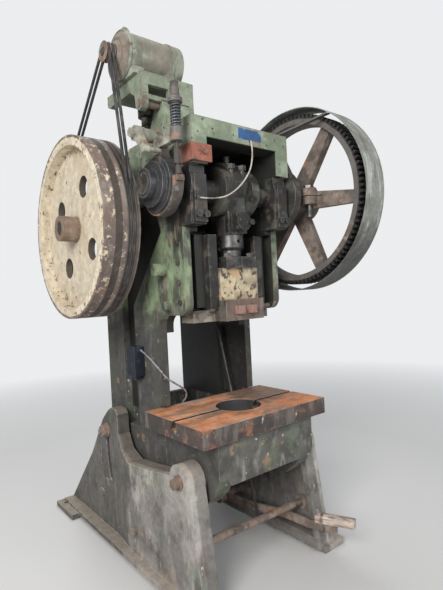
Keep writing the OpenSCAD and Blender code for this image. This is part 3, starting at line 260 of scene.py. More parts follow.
# Specks: ragged spots of one size, a share of the cells filled
specks, inn, out = shader_group("specks", [("Place", "Vector", None), ("Scale", "Float", 40), ("Size", "Float", 0.3),
    ("Share", "Float", 0.4), ("Stretch", "Vector", (1, 1, 1)), ("Shift", "Float", 0)])
spot = node(specks, "VectorMath", {"operation": "MULTIPLY"}, i0=inn["Place"], i1=inn["Stretch"]).outputs[0]
spot = node(specks, "VectorMath", {"operation": "ADD"}, i0=spot, i1=inn["Shift"]).outputs[0]
wobble = node(specks, "TexNoise", Vector=spot, Scale=maths(specks, "MULTIPLY", inn["Scale"], 2.2), Detail=3.0)
wobble = node(specks, "VectorMath", {"operation": "SCALE"}, i0=wobble.outputs["Color"],
    Scale=maths(specks, "DIVIDE", 0.7, inn["Scale"])).outputs[0]
spot = node(specks, "VectorMath", {"operation": "ADD"}, i0=spot, i1=wobble).outputs[0]
cell = node(specks, "TexVoronoi", Vector=spot, Scale=inn["Scale"])
filled = maths(specks, "LESS_THAN", node(specks, "SeparateColor", Color=cell.outputs["Color"]).outputs[0], inn["Share"])
dot = rising(specks, cell.outputs["Distance"], inn["Size"], maths(specks, "MULTIPLY", inn["Size"], 0.6))
specks.links.new(maths(specks, "MULTIPLY", dot, filled), out["Mask"])

# Rubbed edges: where a rounded normal leaves the flat one, broken up by noise
rubbed, inn, out = shader_group("rubbed_edges", [("Place", "Vector", None), ("Scale", "Float", 30),
    ("Level", "Float", 0.5), ("Round", "Vector", None)])
flat = node(rubbed, "NewGeometry").outputs["Normal"]
agree = node(rubbed, "VectorMath", {"operation": "DOT_PRODUCT"}, i0=flat, i1=inn["Round"]).outputs["Value"]
turn = maths(rubbed, "SUBTRACT", 1.0, agree)
broken = node(rubbed, "TexNoise", Vector=inn["Place"], Scale=inn["Scale"], Detail=5.0, Roughness=0.65).outputs[0]
half_step = 0.08
low = maths(rubbed, "SUBTRACT", inn["Level"], half_step)
high = maths(rubbed, "ADD", inn["Level"], half_step)
broken = rising(rubbed, broken, low, high)
rubbed.links.new(maths(rubbed, "MULTIPLY", rising(rubbed, turn, 0.015, 0.10), broken), out["Mask"])


def finish(name, ground, ground_2, rough, layers, metal=0.0, pits=(70, 0.0007), edge=0.003, cloudy=(5, 0.5, 0.15),
        threads=None):
    """A weathered surface: two mixed ground colours, then layers of paint, rust, grease, scuffs and painted light and
    shade.

    A layer is its kind of mask, its colour, its roughness and its facts. "where" keeps it to bands of x, y or z, of
    the way that the surface faces, of the width from the middle plane, or of the distance from an axis.
    """
    made = bpy.data.materials.new(name)
    made.use_nodes = True
    tree = made.node_tree
    shine = tree.nodes["Principled BSDF"]
    coords = tree.nodes.new("ShaderNodeTexCoord")
    place = coords.outputs["Object"]
    rounded = node(tree, "Bevel", {"samples": 4}, Radius=edge).outputs[0]
    axes = node(tree, "SeparateXYZ", i0=place).outputs
    turned = node(tree, "SeparateXYZ", i0=coords.outputs["Normal"]).outputs
    ragged = node(tree, "TexNoise", Vector=place, Scale=14.0, Detail=5.0).outputs[0]
    ragged = maths(tree, "SUBTRACT", ragged, 0.5)

    def grouped(group, **sockets):
        """The mask of one of the three groups."""
        made = tree.nodes.new("ShaderNodeGroup")
        made.node_tree = group
        for key, value in sockets.items():
            if isinstance(value, bpy.types.NodeSocket):
                tree.links.new(value, made.inputs[key])
            else:
                made.inputs[key].default_value = value
        return made.outputs[0]

    def band(what, low, high, soft, loose):
        """A mask between a low and a high limit, its edge soft and made ragged by the loose share."""
        if isinstance(what, tuple):
            first, second = {"x": (1, 2), "z": (0, 1)}[what[0]]
            across = maths(tree, "SUBTRACT", axes[first], what[1])
            up = maths(tree, "SUBTRACT", axes[second], what[2])
            across, up = maths(tree, "MULTIPLY", across, across), maths(tree, "MULTIPLY", up, up)
            value = maths(tree, "SQRT", maths(tree, "ADD", across, up))
        elif what[0] == "n":
            value = turned["xyz".index(what[1])]
        elif what == "wide":
            value = maths(tree, "ABSOLUTE", axes[0])
        else:
            value = axes["xyz".index(what)]
        value = maths(tree, "MULTIPLY_ADD", ragged, loose, value)
        mask = None
        if low is not None:
            mask = rising(tree, value, low - soft, low + soft)
        if high is not None:
            upper = rising(tree, value, high + soft, high - soft)
            mask = upper if mask is None else maths(tree, "MULTIPLY", mask, upper)
        return mask

    scale, middle, soft = cloudy
    mix = grouped(patches, Place=place, Scale=scale, Level=middle, Soft=soft)
    colour = node(tree, "Mix", {"data_type": "RGBA"}, i0=mix, i6=(*ground, 1), i7=(*ground_2, 1)).outputs[2]
    gloss, steel = rough, metal
    height = node(tree, "TexNoise", Vector=place, Scale=pits[0], Detail=6.0, Roughness=0.6).outputs[0]
    height = maths(tree, "MULTIPLY", height, pits[1])
    for number, (kind, tint, layer_rough, facts) in enumerate(layers):
        # Each layer's noise is moved on, so that no two layers fall on the same spots
        shift = 1.7 * number + 0.37
        if kind == "patch":
            mask = grouped(patches, Place=place, Scale=facts.get("scale", 10), Level=facts.get("level", 0.55),
                Soft=facts.get("soft", 0.03), Grain=facts.get("grain", 0.6),
                Stretch=facts.get("stretch", (1, 1, 1)), Shift=shift)
        elif kind == "streak":
            mask = grouped(patches, Place=place, Scale=facts.get("scale", 18), Level=facts.get("level", 0.55),
                Soft=facts.get("soft", 0.08), Grain=0.55, Stretch=facts.get("stretch", (1, 1, 0.12)), Shift=shift)
        elif kind == "speck":
            mask = grouped(specks, Place=place, Scale=facts.get("scale", 40), Size=facts.get("size", 0.3),
                Share=facts.get("share", 0.4), Stretch=facts.get("stretch", (1, 1, 1)), Shift=shift)
        elif kind == "edge":
            mask = grouped(rubbed, Place=place, Scale=facts.get("scale", 30), Level=facts.get("level", 0.5),
                Round=rounded)
        else:
            mask = None
        for what, low, high, soft in facts.get("where", ()):
            area = band(what, low, high, soft, facts.get("loose", 0.0 if what[0] == "n" else 0.04))
            mask = area if mask is None else maths(tree, "MULTIPLY", mask, area)
        if facts.get("most", 1) != 1:
            mask = maths(tree, "MULTIPLY", mask, facts["most"])
        colour = node(tree, "Mix", {"data_type": "RGBA"}, i0=mask, i6=colour, i7=(*tint, 1)).outputs[2]
        gloss = node(tree, "Mix", i0=mask, i2=gloss, i3=layer_rough).outputs[0]
        if facts.get("metal", metal) != metal or steel is not metal:
            steel = node(tree, "Mix", i0=mask, i2=steel, i3=facts.get("metal", 0.0)).outputs[0]
        if "height" in facts:
            height = maths(tree, "MULTIPLY_ADD", mask, facts["height"], height)
    # The whole surface is a little lighter and darker from spot to spot
    uneven = node(tree, "TexNoise", Vector=place, Scale=26.0, Detail=6.0, Roughness=0.7).outputs[0]
    uneven = node(tree, "MapRange", i0=uneven, i1=0.3, i2=0.7, i3=0.74, i4=1.24).outputs[0]
    colour = node(tree, "VectorMath", {"operation": "SCALE"}, i0=colour, Scale=uneven).outputs[0]
    tree.links.new(colour, shine.inputs["Base Color"])
    for value, socket in ((gloss, "Roughness"), (steel, "Metallic")):
        if isinstance(value, bpy.types.NodeSocket):
            tree.links.new(value, shine.inputs[socket])
        else:
            shine.inputs[socket].default_value = value
    if threads:
        along, thread_pitch, thread_depth = threads
        ridge = maths(tree, "MULTIPLY", axes["xyz".index(along)], 2 * math.pi / thread_pitch)
        height = maths(tree, "MULTIPLY_ADD", maths(tree, "SINE", ridge), thread_depth, height)
    bump = node(tree, "Bump", Strength=1.0, Distance=1.0, Height=height, Normal=rounded)
    tree.links.new(bump.outputs[0], shine.inputs["Normal"])
    return made


def paint(material, *names):
    """These pieces of the frame take one material."""
    for name in names:
        nodes[name].data.materials.clear()
        nodes[name].data.materials.append(material)


facing_up = ("nz", 0.8, None, 0.1)
leg_iron = finish("leg_iron", (0.30, 0.27, 0.245), (0.20, 0.19, 0.18), 0.85, [
    ("patch", (0.19, 0.215, 0.165), 0.8, {"scale": 4, "level": 0.56, "soft": 0.08}),
    ("streak", (0.42, 0.39, 0.36), 0.9, {"scale": 16, "level": 0.56, "soft": 0.07, "stretch": (1, 1, 0.3),
        "most": 0.7}),
    ("patch", (0.10, 0.095, 0.09), 0.8, {"scale": 9, "level": 0.60, "soft": 0.06, "most": 0.75}),
    ("streak", (0.15, 0.11, 0.085), 0.9, {"scale": 11, "level": 0.62, "soft": 0.05, "most": 0.7}),
    ("patch", (0.55, 0.53, 0.50), 0.8, {"scale": 30, "level": 0.655, "soft": 0.03, "stretch": (1, 1.6, 0.5),
        "most": 0.85}),
    ("speck", (0.60, 0.58, 0.55), 0.8, {"scale": 26, "size": 0.16, "share": 0.22}),
    ("patch", (0.40, 0.25, 0.16), 0.9, {"scale": 7, "level": 0.66, "soft": 0.04, "most": 0.45}),
    ("patch", (0.055, 0.052, 0.05), 0.75, {"scale": 5, "level": 0.575, "soft": 0.09, "grain": 0.6,
        "stretch": (1, 1, 0.55), "where": [("y", -0.52, None, 0.08)], "loose": 0.15, "most": 0.7}),
    # Painted shade: the back of each leg, behind y = -0.10, is darkened.
    (None, (0.070, 0.067, 0.063), 0.85, {"where": [("y", -0.10, None, 0.05)], "loose": 0.12, "most": 0.72}),
    # Painted highlight: the front of each leg above z = 0.40 is lightened where light falls on it.
    (None, (0.54, 0.50, 0.46), 0.85, {"where": [("y", None, -0.46, 0.07), ("z", 0.40, None, 0.08)], "loose": 0.12,
        "most": 0.55}),
    # Painted shade: faces turned to -x between y = -0.64 and -0.40, on the left leg's outer face, stand for the fold's
    # shade.
    (None, (0.10, 0.093, 0.088), 0.85, {"where": [("nx", None, -0.8, 0.1), ("y", -0.64, -0.40, 0.07)],
        "loose": 0.15, "most": 0.36}),
    (None, (0.44, 0.40, 0.36), 0.9, {"where": [("z", None, 0.06, 0.03), ("y", None, -0.3, 0.1)], "loose": 0.06,
        "most": 0.45}),
    ("edge", (0.46, 0.42, 0.38), 0.7, {"level": 0.44}),
    (None, (0.40, 0.33, 0.26), 0.95, {"where": [("nz", 0.45, None, 0.25)], "most": 0.55}),
    # Painted shade: the faces nearer the middle than x = ±0.373, the legs' inner sides, are darkened.
    (None, (0.045, 0.042, 0.04), 0.9, {"where": [("wide", None, 0.373, 0.006)], "loose": 0.0, "most": 0.45}),
], pits=(60, 0.0012), edge=0.005)
paint(leg_iron, "left_leg", "right_leg")

# ---------------------------------------------------------------- press frame
# One C-shaped casting: two cheeks, the crown with its window, the bed and the apron under the bolster. Green paint is
# left on the crown and the upper cheeks, with oil run down it; the foot of the cheeks is bare, chalky grey iron.
# Painted shade darkens the space between the cheeks, a strip at the throat, the lower outer face of the left cheek and
# the cheek behind the flywheel.
frame_paint = finish("frame_paint", (0.215, 0.255, 0.180), (0.155, 0.19, 0.128), 0.62, [
    ("patch", (0.285, 0.33, 0.245), 0.6, {"scale": 6, "level": 0.55, "soft": 0.06}),
    ("streak", (0.075, 0.078, 0.062), 0.5, {"scale": 9, "level": 0.49, "soft": 0.09,
        "where": [("z", 1.05, 1.72, 0.05)], "loose": 0.3}),
    ("patch", (0.05, 0.05, 0.045), 0.45, {"scale": 7, "level": 0.52, "soft": 0.07,
        "where": [("z", 1.1, 1.85, 0.06)], "loose": 0.3, "most": 0.85}),
    (None, (0.10, 0.094, 0.087), 0.85, {"where": [("z", None, 1.20, 0.05)], "loose": 0.35, "most": 0.93}),
    ("patch", (0.065, 0.061, 0.057), 0.85, {"scale": 11, "level": 0.50, "soft": 0.06,
        "where": [("z", None, 1.22, 0.05)], "loose": 0.3, "most": 0.8}),
    ("patch", (0.12, 0.145, 0.10), 0.75, {"scale": 5, "level": 0.57, "soft": 0.05, "where": [("z", 0.45, 1.3, 0.1)],
        "most": 0.7}),
    ("streak", (0.27, 0.255, 0.235), 0.85, {"scale": 16, "level": 0.62, "soft": 0.06, "stretch": (1, 1, 0.35),
        "where": [("z", None, 1.25, 0.08)], "most": 0.7}),
    # Painted shade: faces turned to -x on the left cheek below z = 1.28 are darkened.
    (None, (0.045, 0.043, 0.042), 0.8, {"where": [("nx", None, -0.7, 0.1), ("z", None, 1.28, 0.08),
        ("x", None, -0.25, 0.02)], "loose": 0.2, "most": 0.55}),
    ("speck", (0.52, 0.51, 0.50), 0.8, {"scale": 30, "size": 0.2, "share": 0.22, "where": [("z", None, 1.3, 0.1)]}),
    ("speck", (0.075, 0.06, 0.045), 0.7, {"scale": 34, "size": 0.24, "share": 0.30,
        "where": [("z", 1.1, None, 0.1)], "height": -0.0005}),
    ("patch", (0.25, 0.17, 0.11), 0.9, {"scale": 12, "level": 0.63, "soft": 0.03, "height": -0.0004, "most": 0.8}),
    ("edge", (0.20, 0.18, 0.15), 0.5, {"level": 0.46, "scale": 22}),
    # Painted shade: the left cheek behind the flywheel, between z = 1.56 and 1.97, is darkened in broken patches.
    ("patch", (0.035, 0.033, 0.029), 0.5, {"scale": 5, "level": 0.44, "soft": 0.10,
        "where": [("z", 1.56, 1.97, 0.05), ("x", None, -0.2, 0.02)], "loose": 0.2, "most": 0.9}),
    ("patch", (0.255, 0.33, 0.195), 0.6, {"scale": 8, "level": 0.515, "soft": 0.06, "grain": 0.65,
        "stretch": (1, 1, 0.4), "where": [("z", 1.27, 1.66, 0.04), ("x", None, -0.21, 0.02)], "loose": 0.15,
        "most": 0.8}),
    ("streak", (0.20, 0.15, 0.105), 0.75, {"scale": 24, "level": 0.60, "soft": 0.05, "stretch": (1, 1, 0.16),
        "where": [("z", 1.2, 1.7, 0.05)], "loose": 0.2, "most": 0.8}),
    # Painted shade: a strip at the throat, from y = -0.345 to -0.318 and z = 0.74 to 1.25, is darkened.
    (None, (0.045, 0.042, 0.038), 0.65, {"where": [("y", -0.345, -0.318, 0.003), ("z", 0.74, 1.25, 0.02)],
        "loose": 0.0, "most": 0.72}),
    # Painted shade: the faces between the cheeks, inside x = ±0.256 and behind the crown's front, are painted near
    # black.
    (None, (0.018, 0.0175, 0.017), 0.55, {"where": [("wide", None, 0.2562, 0.002), ("z", 0.72, 2.098, 0.008),
        ("y", -0.668, None, 0.003), ("ny", None, 0.55, 0.1)], "loose": 0.0, "most": 0.97}),
    (None, (0.30, 0.27, 0.22), 0.95, {"where": [facing_up, ("z", 1.2, None, 0.05)], "most": 0.45}),
], pits=(55, 0.0010), edge=0.005)
paint(frame_paint, "frame")

# ---------------------------------------------------------------- bolster
# A planed iron plate with a round hole and T-slots. Orange rust has bloomed on its top; the sides are brown, bruised
# and scratched white. A T-slot and the hole are darkened inside with painted shade. Four bolts from below hold it to
# the bed.
bed_hole = ("z", 0, -0.545)
bolster_iron = finish("bolster_iron", (0.088, 0.062, 0.053), (0.052, 0.043, 0.040), 0.8, [
    ("streak", (0.155, 0.135, 0.12), 0.8, {"scale": 14, "level": 0.57, "soft": 0.06, "stretch": (1, 1, 0.4),
        "most": 0.7}),
    ("patch", (0.23, 0.11, 0.07), 0.85, {"scale": 12, "level": 0.58, "soft": 0.05}),
    ("patch", (0.50, 0.47, 0.44), 0.7, {"scale": 24, "level": 0.645, "soft": 0.03, "stretch": (1, 1, 0.5),
        "most": 0.85}),
    (None, (0.66, 0.25, 0.105), 0.8, {"where": [facing_up]}),
    ("patch", (0.80, 0.42, 0.25), 0.8, {"scale": 5, "level": 0.52, "soft": 0.08, "where": [facing_up],
        "most": 0.8}),
    ("patch", (0.26, 0.17, 0.12), 0.6, {"scale": 6, "level": 0.54, "soft": 0.05, "grain": 0.7,
        "stretch": (0.5, 1.6, 1), "where": [facing_up], "most": 0.85}),
    ("patch", (0.36, 0.31, 0.27), 0.5, {"scale": 9, "level": 0.585, "soft": 0.05, "stretch": (0.4, 2, 1),
        "where": [facing_up], "most": 0.8}),
    (None, (0.14, 0.108, 0.09), 0.7, {"where": [facing_up, ("y", -0.60, None, 0.05), ("x", 0.08, None, 0.06)],
        "loose": 0.25, "most": 0.8}),
    # Painted shade: the inside of the T-slot is painted near black.
    (None, (0.02, 0.017, 0.015), 0.8, {"where": [("z", 0.7425, 0.778, 0.001), ("y", -0.5675, -0.5225, 0.001)],
        "loose": 0.0}),
    # Painted shade: the wall of the round hole is painted dark.
    (None, (0.035, 0.033, 0.034), 0.7, {"where": [("z", None, 0.7785, 0.001), (bed_hole, None, 0.114, 0.001)],
        "loose": 0.0}),
    ("edge", (0.36, 0.27, 0.21), 0.5, {"level": 0.42, "scale": 18}),
], pits=(60, 0.0006), edge=0.003)
paint(bolster_iron, "bolster")

# ---------------------------------------------------------------- oily iron
# The crankshaft with its key and nut, the pitman, the gibs and their screws, the bearing caps, the bolster bolts
# and the pull rod are dark iron under old oil, with brown and green patches and edges rubbed grey.
dark_iron = finish("dark_oily_iron", (0.050, 0.048, 0.046), (0.028, 0.027, 0.026), 0.42, [
    ("patch", (0.12, 0.095, 0.075), 0.75, {"scale": 14, "level": 0.57, "soft": 0.05, "most": 0.8}),
    ("patch", (0.10, 0.11, 0.09), 0.6, {"scale": 8, "level": 0.60, "soft": 0.04, "most": 0.7}),
    ("speck", (0.30, 0.28, 0.25), 0.4, {"scale": 60, "size": 0.2, "share": 0.12}),
    ("edge", (0.24, 0.225, 0.21), 0.35, {"level": 0.42, "scale": 40}),
], metal=0.2, pits=(90, 0.0005), edge=0.0025)
paint(dark_iron, "bolster_bolts", "left_gib", "right_gib", "gib_screws", "left_bearing_cap", "right_bearing_cap",
    "crankshaft", "drum_key", "crank_nut", "pitman", "pitman_cap", "pull_rod")

# ---------------------------------------------------------------- turned steel
# The ball screw with its lock nut and cap, the bearing caps' nuts, the two driving shafts and the hub bolts are
# turned steel, darkened by oil in patches and a little rusty.
worn_steel = finish("worn_steel", (0.155, 0.155, 0.155), (0.10, 0.098, 0.095), 0.36, [
    ("patch", (0.05, 0.047, 0.043), 0.5, {"scale": 16, "level": 0.54, "soft": 0.06, "most": 0.85}),
    ("patch", (0.16, 0.105, 0.07), 0.8, {"scale": 22, "level": 0.62, "soft": 0.03, "metal": 0.0, "most": 0.8}),
    ("edge", (0.42, 0.41, 0.39), 0.3, {"level": 0.42, "scale": 40}),
], metal=0.75, pits=(120, 0.0003), edge=0.002)
paint(worn_steel, "ball_screw", "lock_nut", "ball_cap", "cap_nuts", "countershaft", "motor_shaft", "hub_bolts")

# ---------------------------------------------------------------- rusty iron
# The tie rod, the treadle's lever and shaft, the hinge rod, the outer bolts and nuts and the motor's pulley are
# bare iron, brown with dry rust.
rusty_iron = finish("rusty_iron", (0.215, 0.155, 0.12), (0.13, 0.098, 0.08), 0.82, [
    ("patch", (0.27, 0.235, 0.205), 0.8, {"scale": 15, "level": 0.55, "soft": 0.06, "most": 0.8}),
    ("patch", (0.32, 0.165, 0.10), 0.9, {"scale": 20, "level": 0.60, "soft": 0.04, "most": 0.85}),
    ("patch", (0.06, 0.052, 0.047), 0.7, {"scale": 12, "level": 0.60, "soft": 0.05, "most": 0.8}),
    ("edge", (0.36, 0.31, 0.27), 0.55, {"level": 0.44, "scale": 40}),
], pits=(110, 0.0007), edge=0.002)
paint(rusty_iron, "tie_rod", "pivot_bolts", "clamp_bolts", "treadle_shaft", "treadle_lever", "hinge_rod", "motor_bolts",
    "shaft_nuts", "motor_pulley")

# ---------------------------------------------------------------- flywheel
# A dished cast wheel keyed on the left end of the countershaft. Thick cream paint has chipped from the face and flaked
# almost away from the rim, which is brown; the belt grooves are polished dark by the belts. The walls of the holes and
# of the dished web are darkened with painted shade.
wheel_y, wheel_z = -0.030, 1.6876
wheel = ("x", wheel_y, wheel_z)
wheel_front = ("x", None, -0.50, 0.004)
cream_wheel = finish("flywheel_paint", (0.20, 0.147, 0.122), (0.135, 0.105, 0.092), 0.75, [
    ("patch", (0.26, 0.22, 0.19), 0.7, {"scale": 7, "level": 0.55, "soft": 0.06, "most": 0.8}),
    ("patch", (0.62, 0.51, 0.38), 0.7, {"scale": 34, "level": 0.57, "soft": 0.02, "grain": 0.7,
        "where": [("x", None, -0.515, 0.012)], "loose": 0.05, "height": 0.0006}),
    (None, (0.70, 0.615, 0.475), 0.62, {"where": [(wheel, None, 0.4335, 0.002), wheel_front], "loose": 0.02,
        "height": 0.0006}),
    ("patch", (0.60, 0.50, 0.36), 0.65, {"scale": 5, "level": 0.53, "soft": 0.07,
        "where": [(wheel, None, 0.435, 0.002), wheel_front], "most": 0.8}),
    ("streak", (0.50, 0.41, 0.30), 0.7, {"scale": 12, "level": 0.60, "soft": 0.05,
        "where": [(wheel, None, 0.435, 0.002), wheel_front], "most": 0.6}),
    ("patch", (0.19, 0.125, 0.085), 0.85, {"scale": 26, "level": 0.60, "soft": 0.015, "grain": 0.7,
        "where": [(wheel, 0.355, 0.437, 0.012), wheel_front], "height": -0.0007}),
    ("speck", (0.17, 0.11, 0.075), 0.85, {"scale": 22, "size": 0.19, "share": 0.30,
        "where": [(wheel, None, 0.437, 0.004), wheel_front], "height": -0.0007}),
    ("speck", (0.13, 0.09, 0.065), 0.85, {"scale": 46, "size": 0.24, "share": 0.22,
        "where": [(wheel, None, 0.437, 0.004), wheel_front], "height": -0.0006}),
    (None, (0.15, 0.095, 0.07), 0.75, {"where": [(wheel, None, 0.066, 0.006), wheel_front], "loose": 0.02,
        "most": 0.88}),
    # Painted shade: the faces between x = -0.5695 and -0.535, the walls of the holes and of the dished web, are
    # darkened.
    (None, (0.05, 0.04, 0.034), 0.75, {"where": [("x", -0.5695, -0.535, 0.001)], "loose": 0.0, "most": 0.9}),
    ("edge", (0.34, 0.27, 0.21), 0.6, {"level": 0.46, "scale": 26}),
    (None, (0.055, 0.048, 0.044), 0.5, {"where": [("x", -0.512, -0.457, 0.003)], "loose": 0.0, "most": 0.8}),
], pits=(60, 0.0007), edge=0.004)
paint(cream_wheel, "flywheel")

# ---------------------------------------------------------------- spur gear and pinion
# The big gear is a raw casting with six spokes, brown with dry rust, and its cut teeth carry black grease.
gear_axis = ("x", -0.545, 1.817)
gear_iron = finish("gear_iron", (0.165, 0.125, 0.104), (0.12, 0.092, 0.077), 0.8, [
    ("patch", (0.23, 0.19, 0.16), 0.8, {"scale": 9, "level": 0.55, "soft": 0.06, "most": 0.8}),
    ("streak", (0.42, 0.37, 0.32), 0.8, {"scale": 20, "level": 0.64, "soft": 0.04, "stretch": (1, 0.5, 0.5),
        "most": 0.6}),
    ("patch", (0.30, 0.165, 0.105), 0.88, {"scale": 18, "level": 0.60, "soft": 0.04, "most": 0.8}),
    ("patch", (0.085, 0.07, 0.06), 0.75, {"scale": 12, "level": 0.585, "soft": 0.05, "most": 0.8}),
    ("edge", (0.36, 0.30, 0.25), 0.6, {"level": 0.45, "scale": 26}),
    ("patch", (0.12, 0.113, 0.108), 0.7, {"scale": 6, "level": 0.46, "soft": 0.08,
        "where": [(gear_axis, 0.375, None, 0.01)], "most": 0.85}),
    (None, (0.022, 0.021, 0.021), 0.42, {"where": [(gear_axis, 0.436, None, 0.004)], "loose": 0.012, "most": 0.95}),
    (None, (0.075, 0.072, 0.068), 0.5, {"where": [(gear_axis, None, 0.125, 0.01)], "loose": 0.03, "most": 0.85}),
], pits=(60, 0.0009), edge=0.003)
paint(gear_iron, "gear")
greased_teeth = finish("greased_teeth", (0.04, 0.038, 0.036), (0.024, 0.023, 0.022), 0.38, [
    ("patch", (0.09, 0.08, 0.07), 0.6, {"scale": 18, "level": 0.58, "soft": 0.05}),
    ("edge", (0.25, 0.24, 0.23), 0.3, {"level": 0.44}),
], metal=0.3, pits=(90, 0.0004))
paint(greased_teeth, "pinion")
bronze = finish("bearing_bronze", (0.30, 0.19, 0.085), (0.20, 0.13, 0.07), 0.42, [
    ("patch", (0.06, 0.05, 0.04), 0.5, {"scale": 20, "level": 0.52, "soft": 0.08}),
], metal=0.8, pits=(120, 0.0002), edge=0.001)
paint(bronze, "gear_bush", "shaft_bearings")
clutch_iron = finish("clutch_iron", (0.085, 0.083, 0.078), (0.05, 0.049, 0.046), 0.45, [
    ("patch", (0.15, 0.145, 0.13), 0.6, {"scale": 9, "level": 0.55, "soft": 0.07, "most": 0.8}),
    ("patch", (0.12, 0.08, 0.055), 0.8, {"scale": 18, "level": 0.61, "soft": 0.04}),
    ("edge", (0.32, 0.31, 0.29), 0.32, {"level": 0.42, "scale": 30}),
], metal=0.35, pits=(70, 0.0005), edge=0.003)
paint(clutch_iron, "clutch_body")

# ---------------------------------------------------------------- gear guard and its stays
# A band of sheet iron bent round the front and underside of the gear. Thin grey-green paint is scratched along its
# length; the inside is black with thrown grease. Two flat bars carry it from the crown.
guard_paint = finish("guard_paint", (0.245, 0.255, 0.23), (0.185, 0.197, 0.175), 0.72, [
    ("streak", (0.42, 0.43, 0.405), 0.75, {"scale": 16, "level": 0.55, "soft": 0.06, "stretch": (1.6, 0.5, 0.35),
        "most": 0.8}),
    ("streak", (0.13, 0.135, 0.12), 0.7, {"scale": 20, "level": 0.60, "soft": 0.04, "stretch": (1.6, 0.5, 0.3),
        "most": 0.8}),
    ("patch", (0.25, 0.18, 0.13), 0.85, {"scale": 16, "level": 0.63, "soft": 0.04, "most": 0.7}),
    (None, (0.05, 0.05, 0.046), 0.6, {"where": [("z", None, 1.60, 0.08)], "loose": 0.25, "most": 0.8}),
    (None, (0.040, 0.039, 0.037), 0.55, {"where": [(gear_axis, None, 0.4845, 0.0006)], "loose": 0.0, "most": 0.93}),
    ("edge", (0.42, 0.42, 0.39), 0.5, {"level": 0.46}),
], pits=(40, 0.0010), edge=0.001)
paint(guard_paint, "gear_guard", "guard_stays")

# ---------------------------------------------------------------- motor, its plate and the belts
# A totally enclosed motor, painted the same green, on a cast box bracket that hinges on the crown so that its weight
# and the screw at the back keep the belts tight. The inside of the bracket is painted near black as shade. Two V-belts
# run down to the flywheel.
motor_paint = finish("motor_paint", (0.26, 0.285, 0.22), (0.205, 0.222, 0.172), 0.66, [
    ("patch", (0.37, 0.395, 0.33), 0.65, {"scale": 8, "level": 0.56, "soft": 0.06, "most": 0.8}),
    ("streak", (0.15, 0.14, 0.115), 0.75, {"scale": 16, "level": 0.585, "soft": 0.06, "stretch": (1, 1, 0.4),
        "most": 0.75}),
    ("patch", (0.17, 0.12, 0.085), 0.85, {"scale": 14, "level": 0.61, "soft": 0.03,
        "where": [("x", None, -0.40, 0.02)], "height": -0.0004}),
    ("streak", (0.19, 0.155, 0.125), 0.85, {"scale": 7, "level": 0.47, "soft": 0.08, "stretch": (1, 1, 0.35),
        "where": [("x", -0.345, -0.19, 0.03)], "loose": 0.06, "most": 0.7}),
    (None, (0.165, 0.125, 0.10), 0.85, {"where": [("x", None, -0.4285, 0.002)], "loose": 0.01, "most": 0.82}),
    ("speck", (0.10, 0.085, 0.07), 0.8, {"scale": 40, "size": 0.22, "share": 0.2}),
    ("edge", (0.38, 0.37, 0.31), 0.6, {"level": 0.46, "scale": 24}),
    (None, (0.36, 0.33, 0.27), 0.95, {"where": [("nz", 0.5, None, 0.3)], "most": 0.6}),
], pits=(60, 0.0009), edge=0.004)
paint(motor_paint, "motor_body", "motor_bells")
plate_paint = finish("plate_paint", (0.225, 0.262, 0.19), (0.185, 0.215, 0.155), 0.65, [
    ("patch", (0.285, 0.325, 0.245), 0.6, {"scale": 7, "level": 0.55, "soft": 0.06, "most": 0.7}),
    ("streak", (0.17, 0.165, 0.13), 0.75, {"scale": 14, "level": 0.60, "soft": 0.06, "most": 0.7}),
    ("patch", (0.16, 0.12, 0.09), 0.85, {"scale": 10, "level": 0.56, "soft": 0.04,
        "where": [("z", None, 2.275, 0.03)], "height": -0.0004, "most": 0.85}),
    ("speck", (0.10, 0.085, 0.07), 0.8, {"scale": 30, "size": 0.2, "share": 0.25, "height": -0.0005}),
    ("edge", (0.22, 0.19, 0.15), 0.6, {"level": 0.50, "scale": 20}),
    # Painted shade: the inside of the box bracket, behind its front wall, is painted near black.
    (None, (0.03, 0.029, 0.027), 0.7, {"where": [("y", -0.4305, None, 0.002), ("x", -0.3655, -0.1455, 0.002),
        ("z", None, 2.3345, 0.002)], "loose": 0.0, "most": 0.9}),
], pits=(60, 0.0009), edge=0.004)
paint(plate_paint, "motor_plate")
belt_rubber = finish("belt_rubber", (0.030, 0.031, 0.034), (0.045, 0.044, 0.043), 0.6, [
    ("patch", (0.13, 0.12, 0.11), 0.85, {"scale": 20, "level": 0.54, "soft": 0.08, "most": 0.6}),
    ("edge", (0.16, 0.15, 0.14), 0.6, {"level": 0.40}),
], pits=(300, 0.0002), edge=0.0015)
paint(belt_rubber, "belt_1", "belt_2")

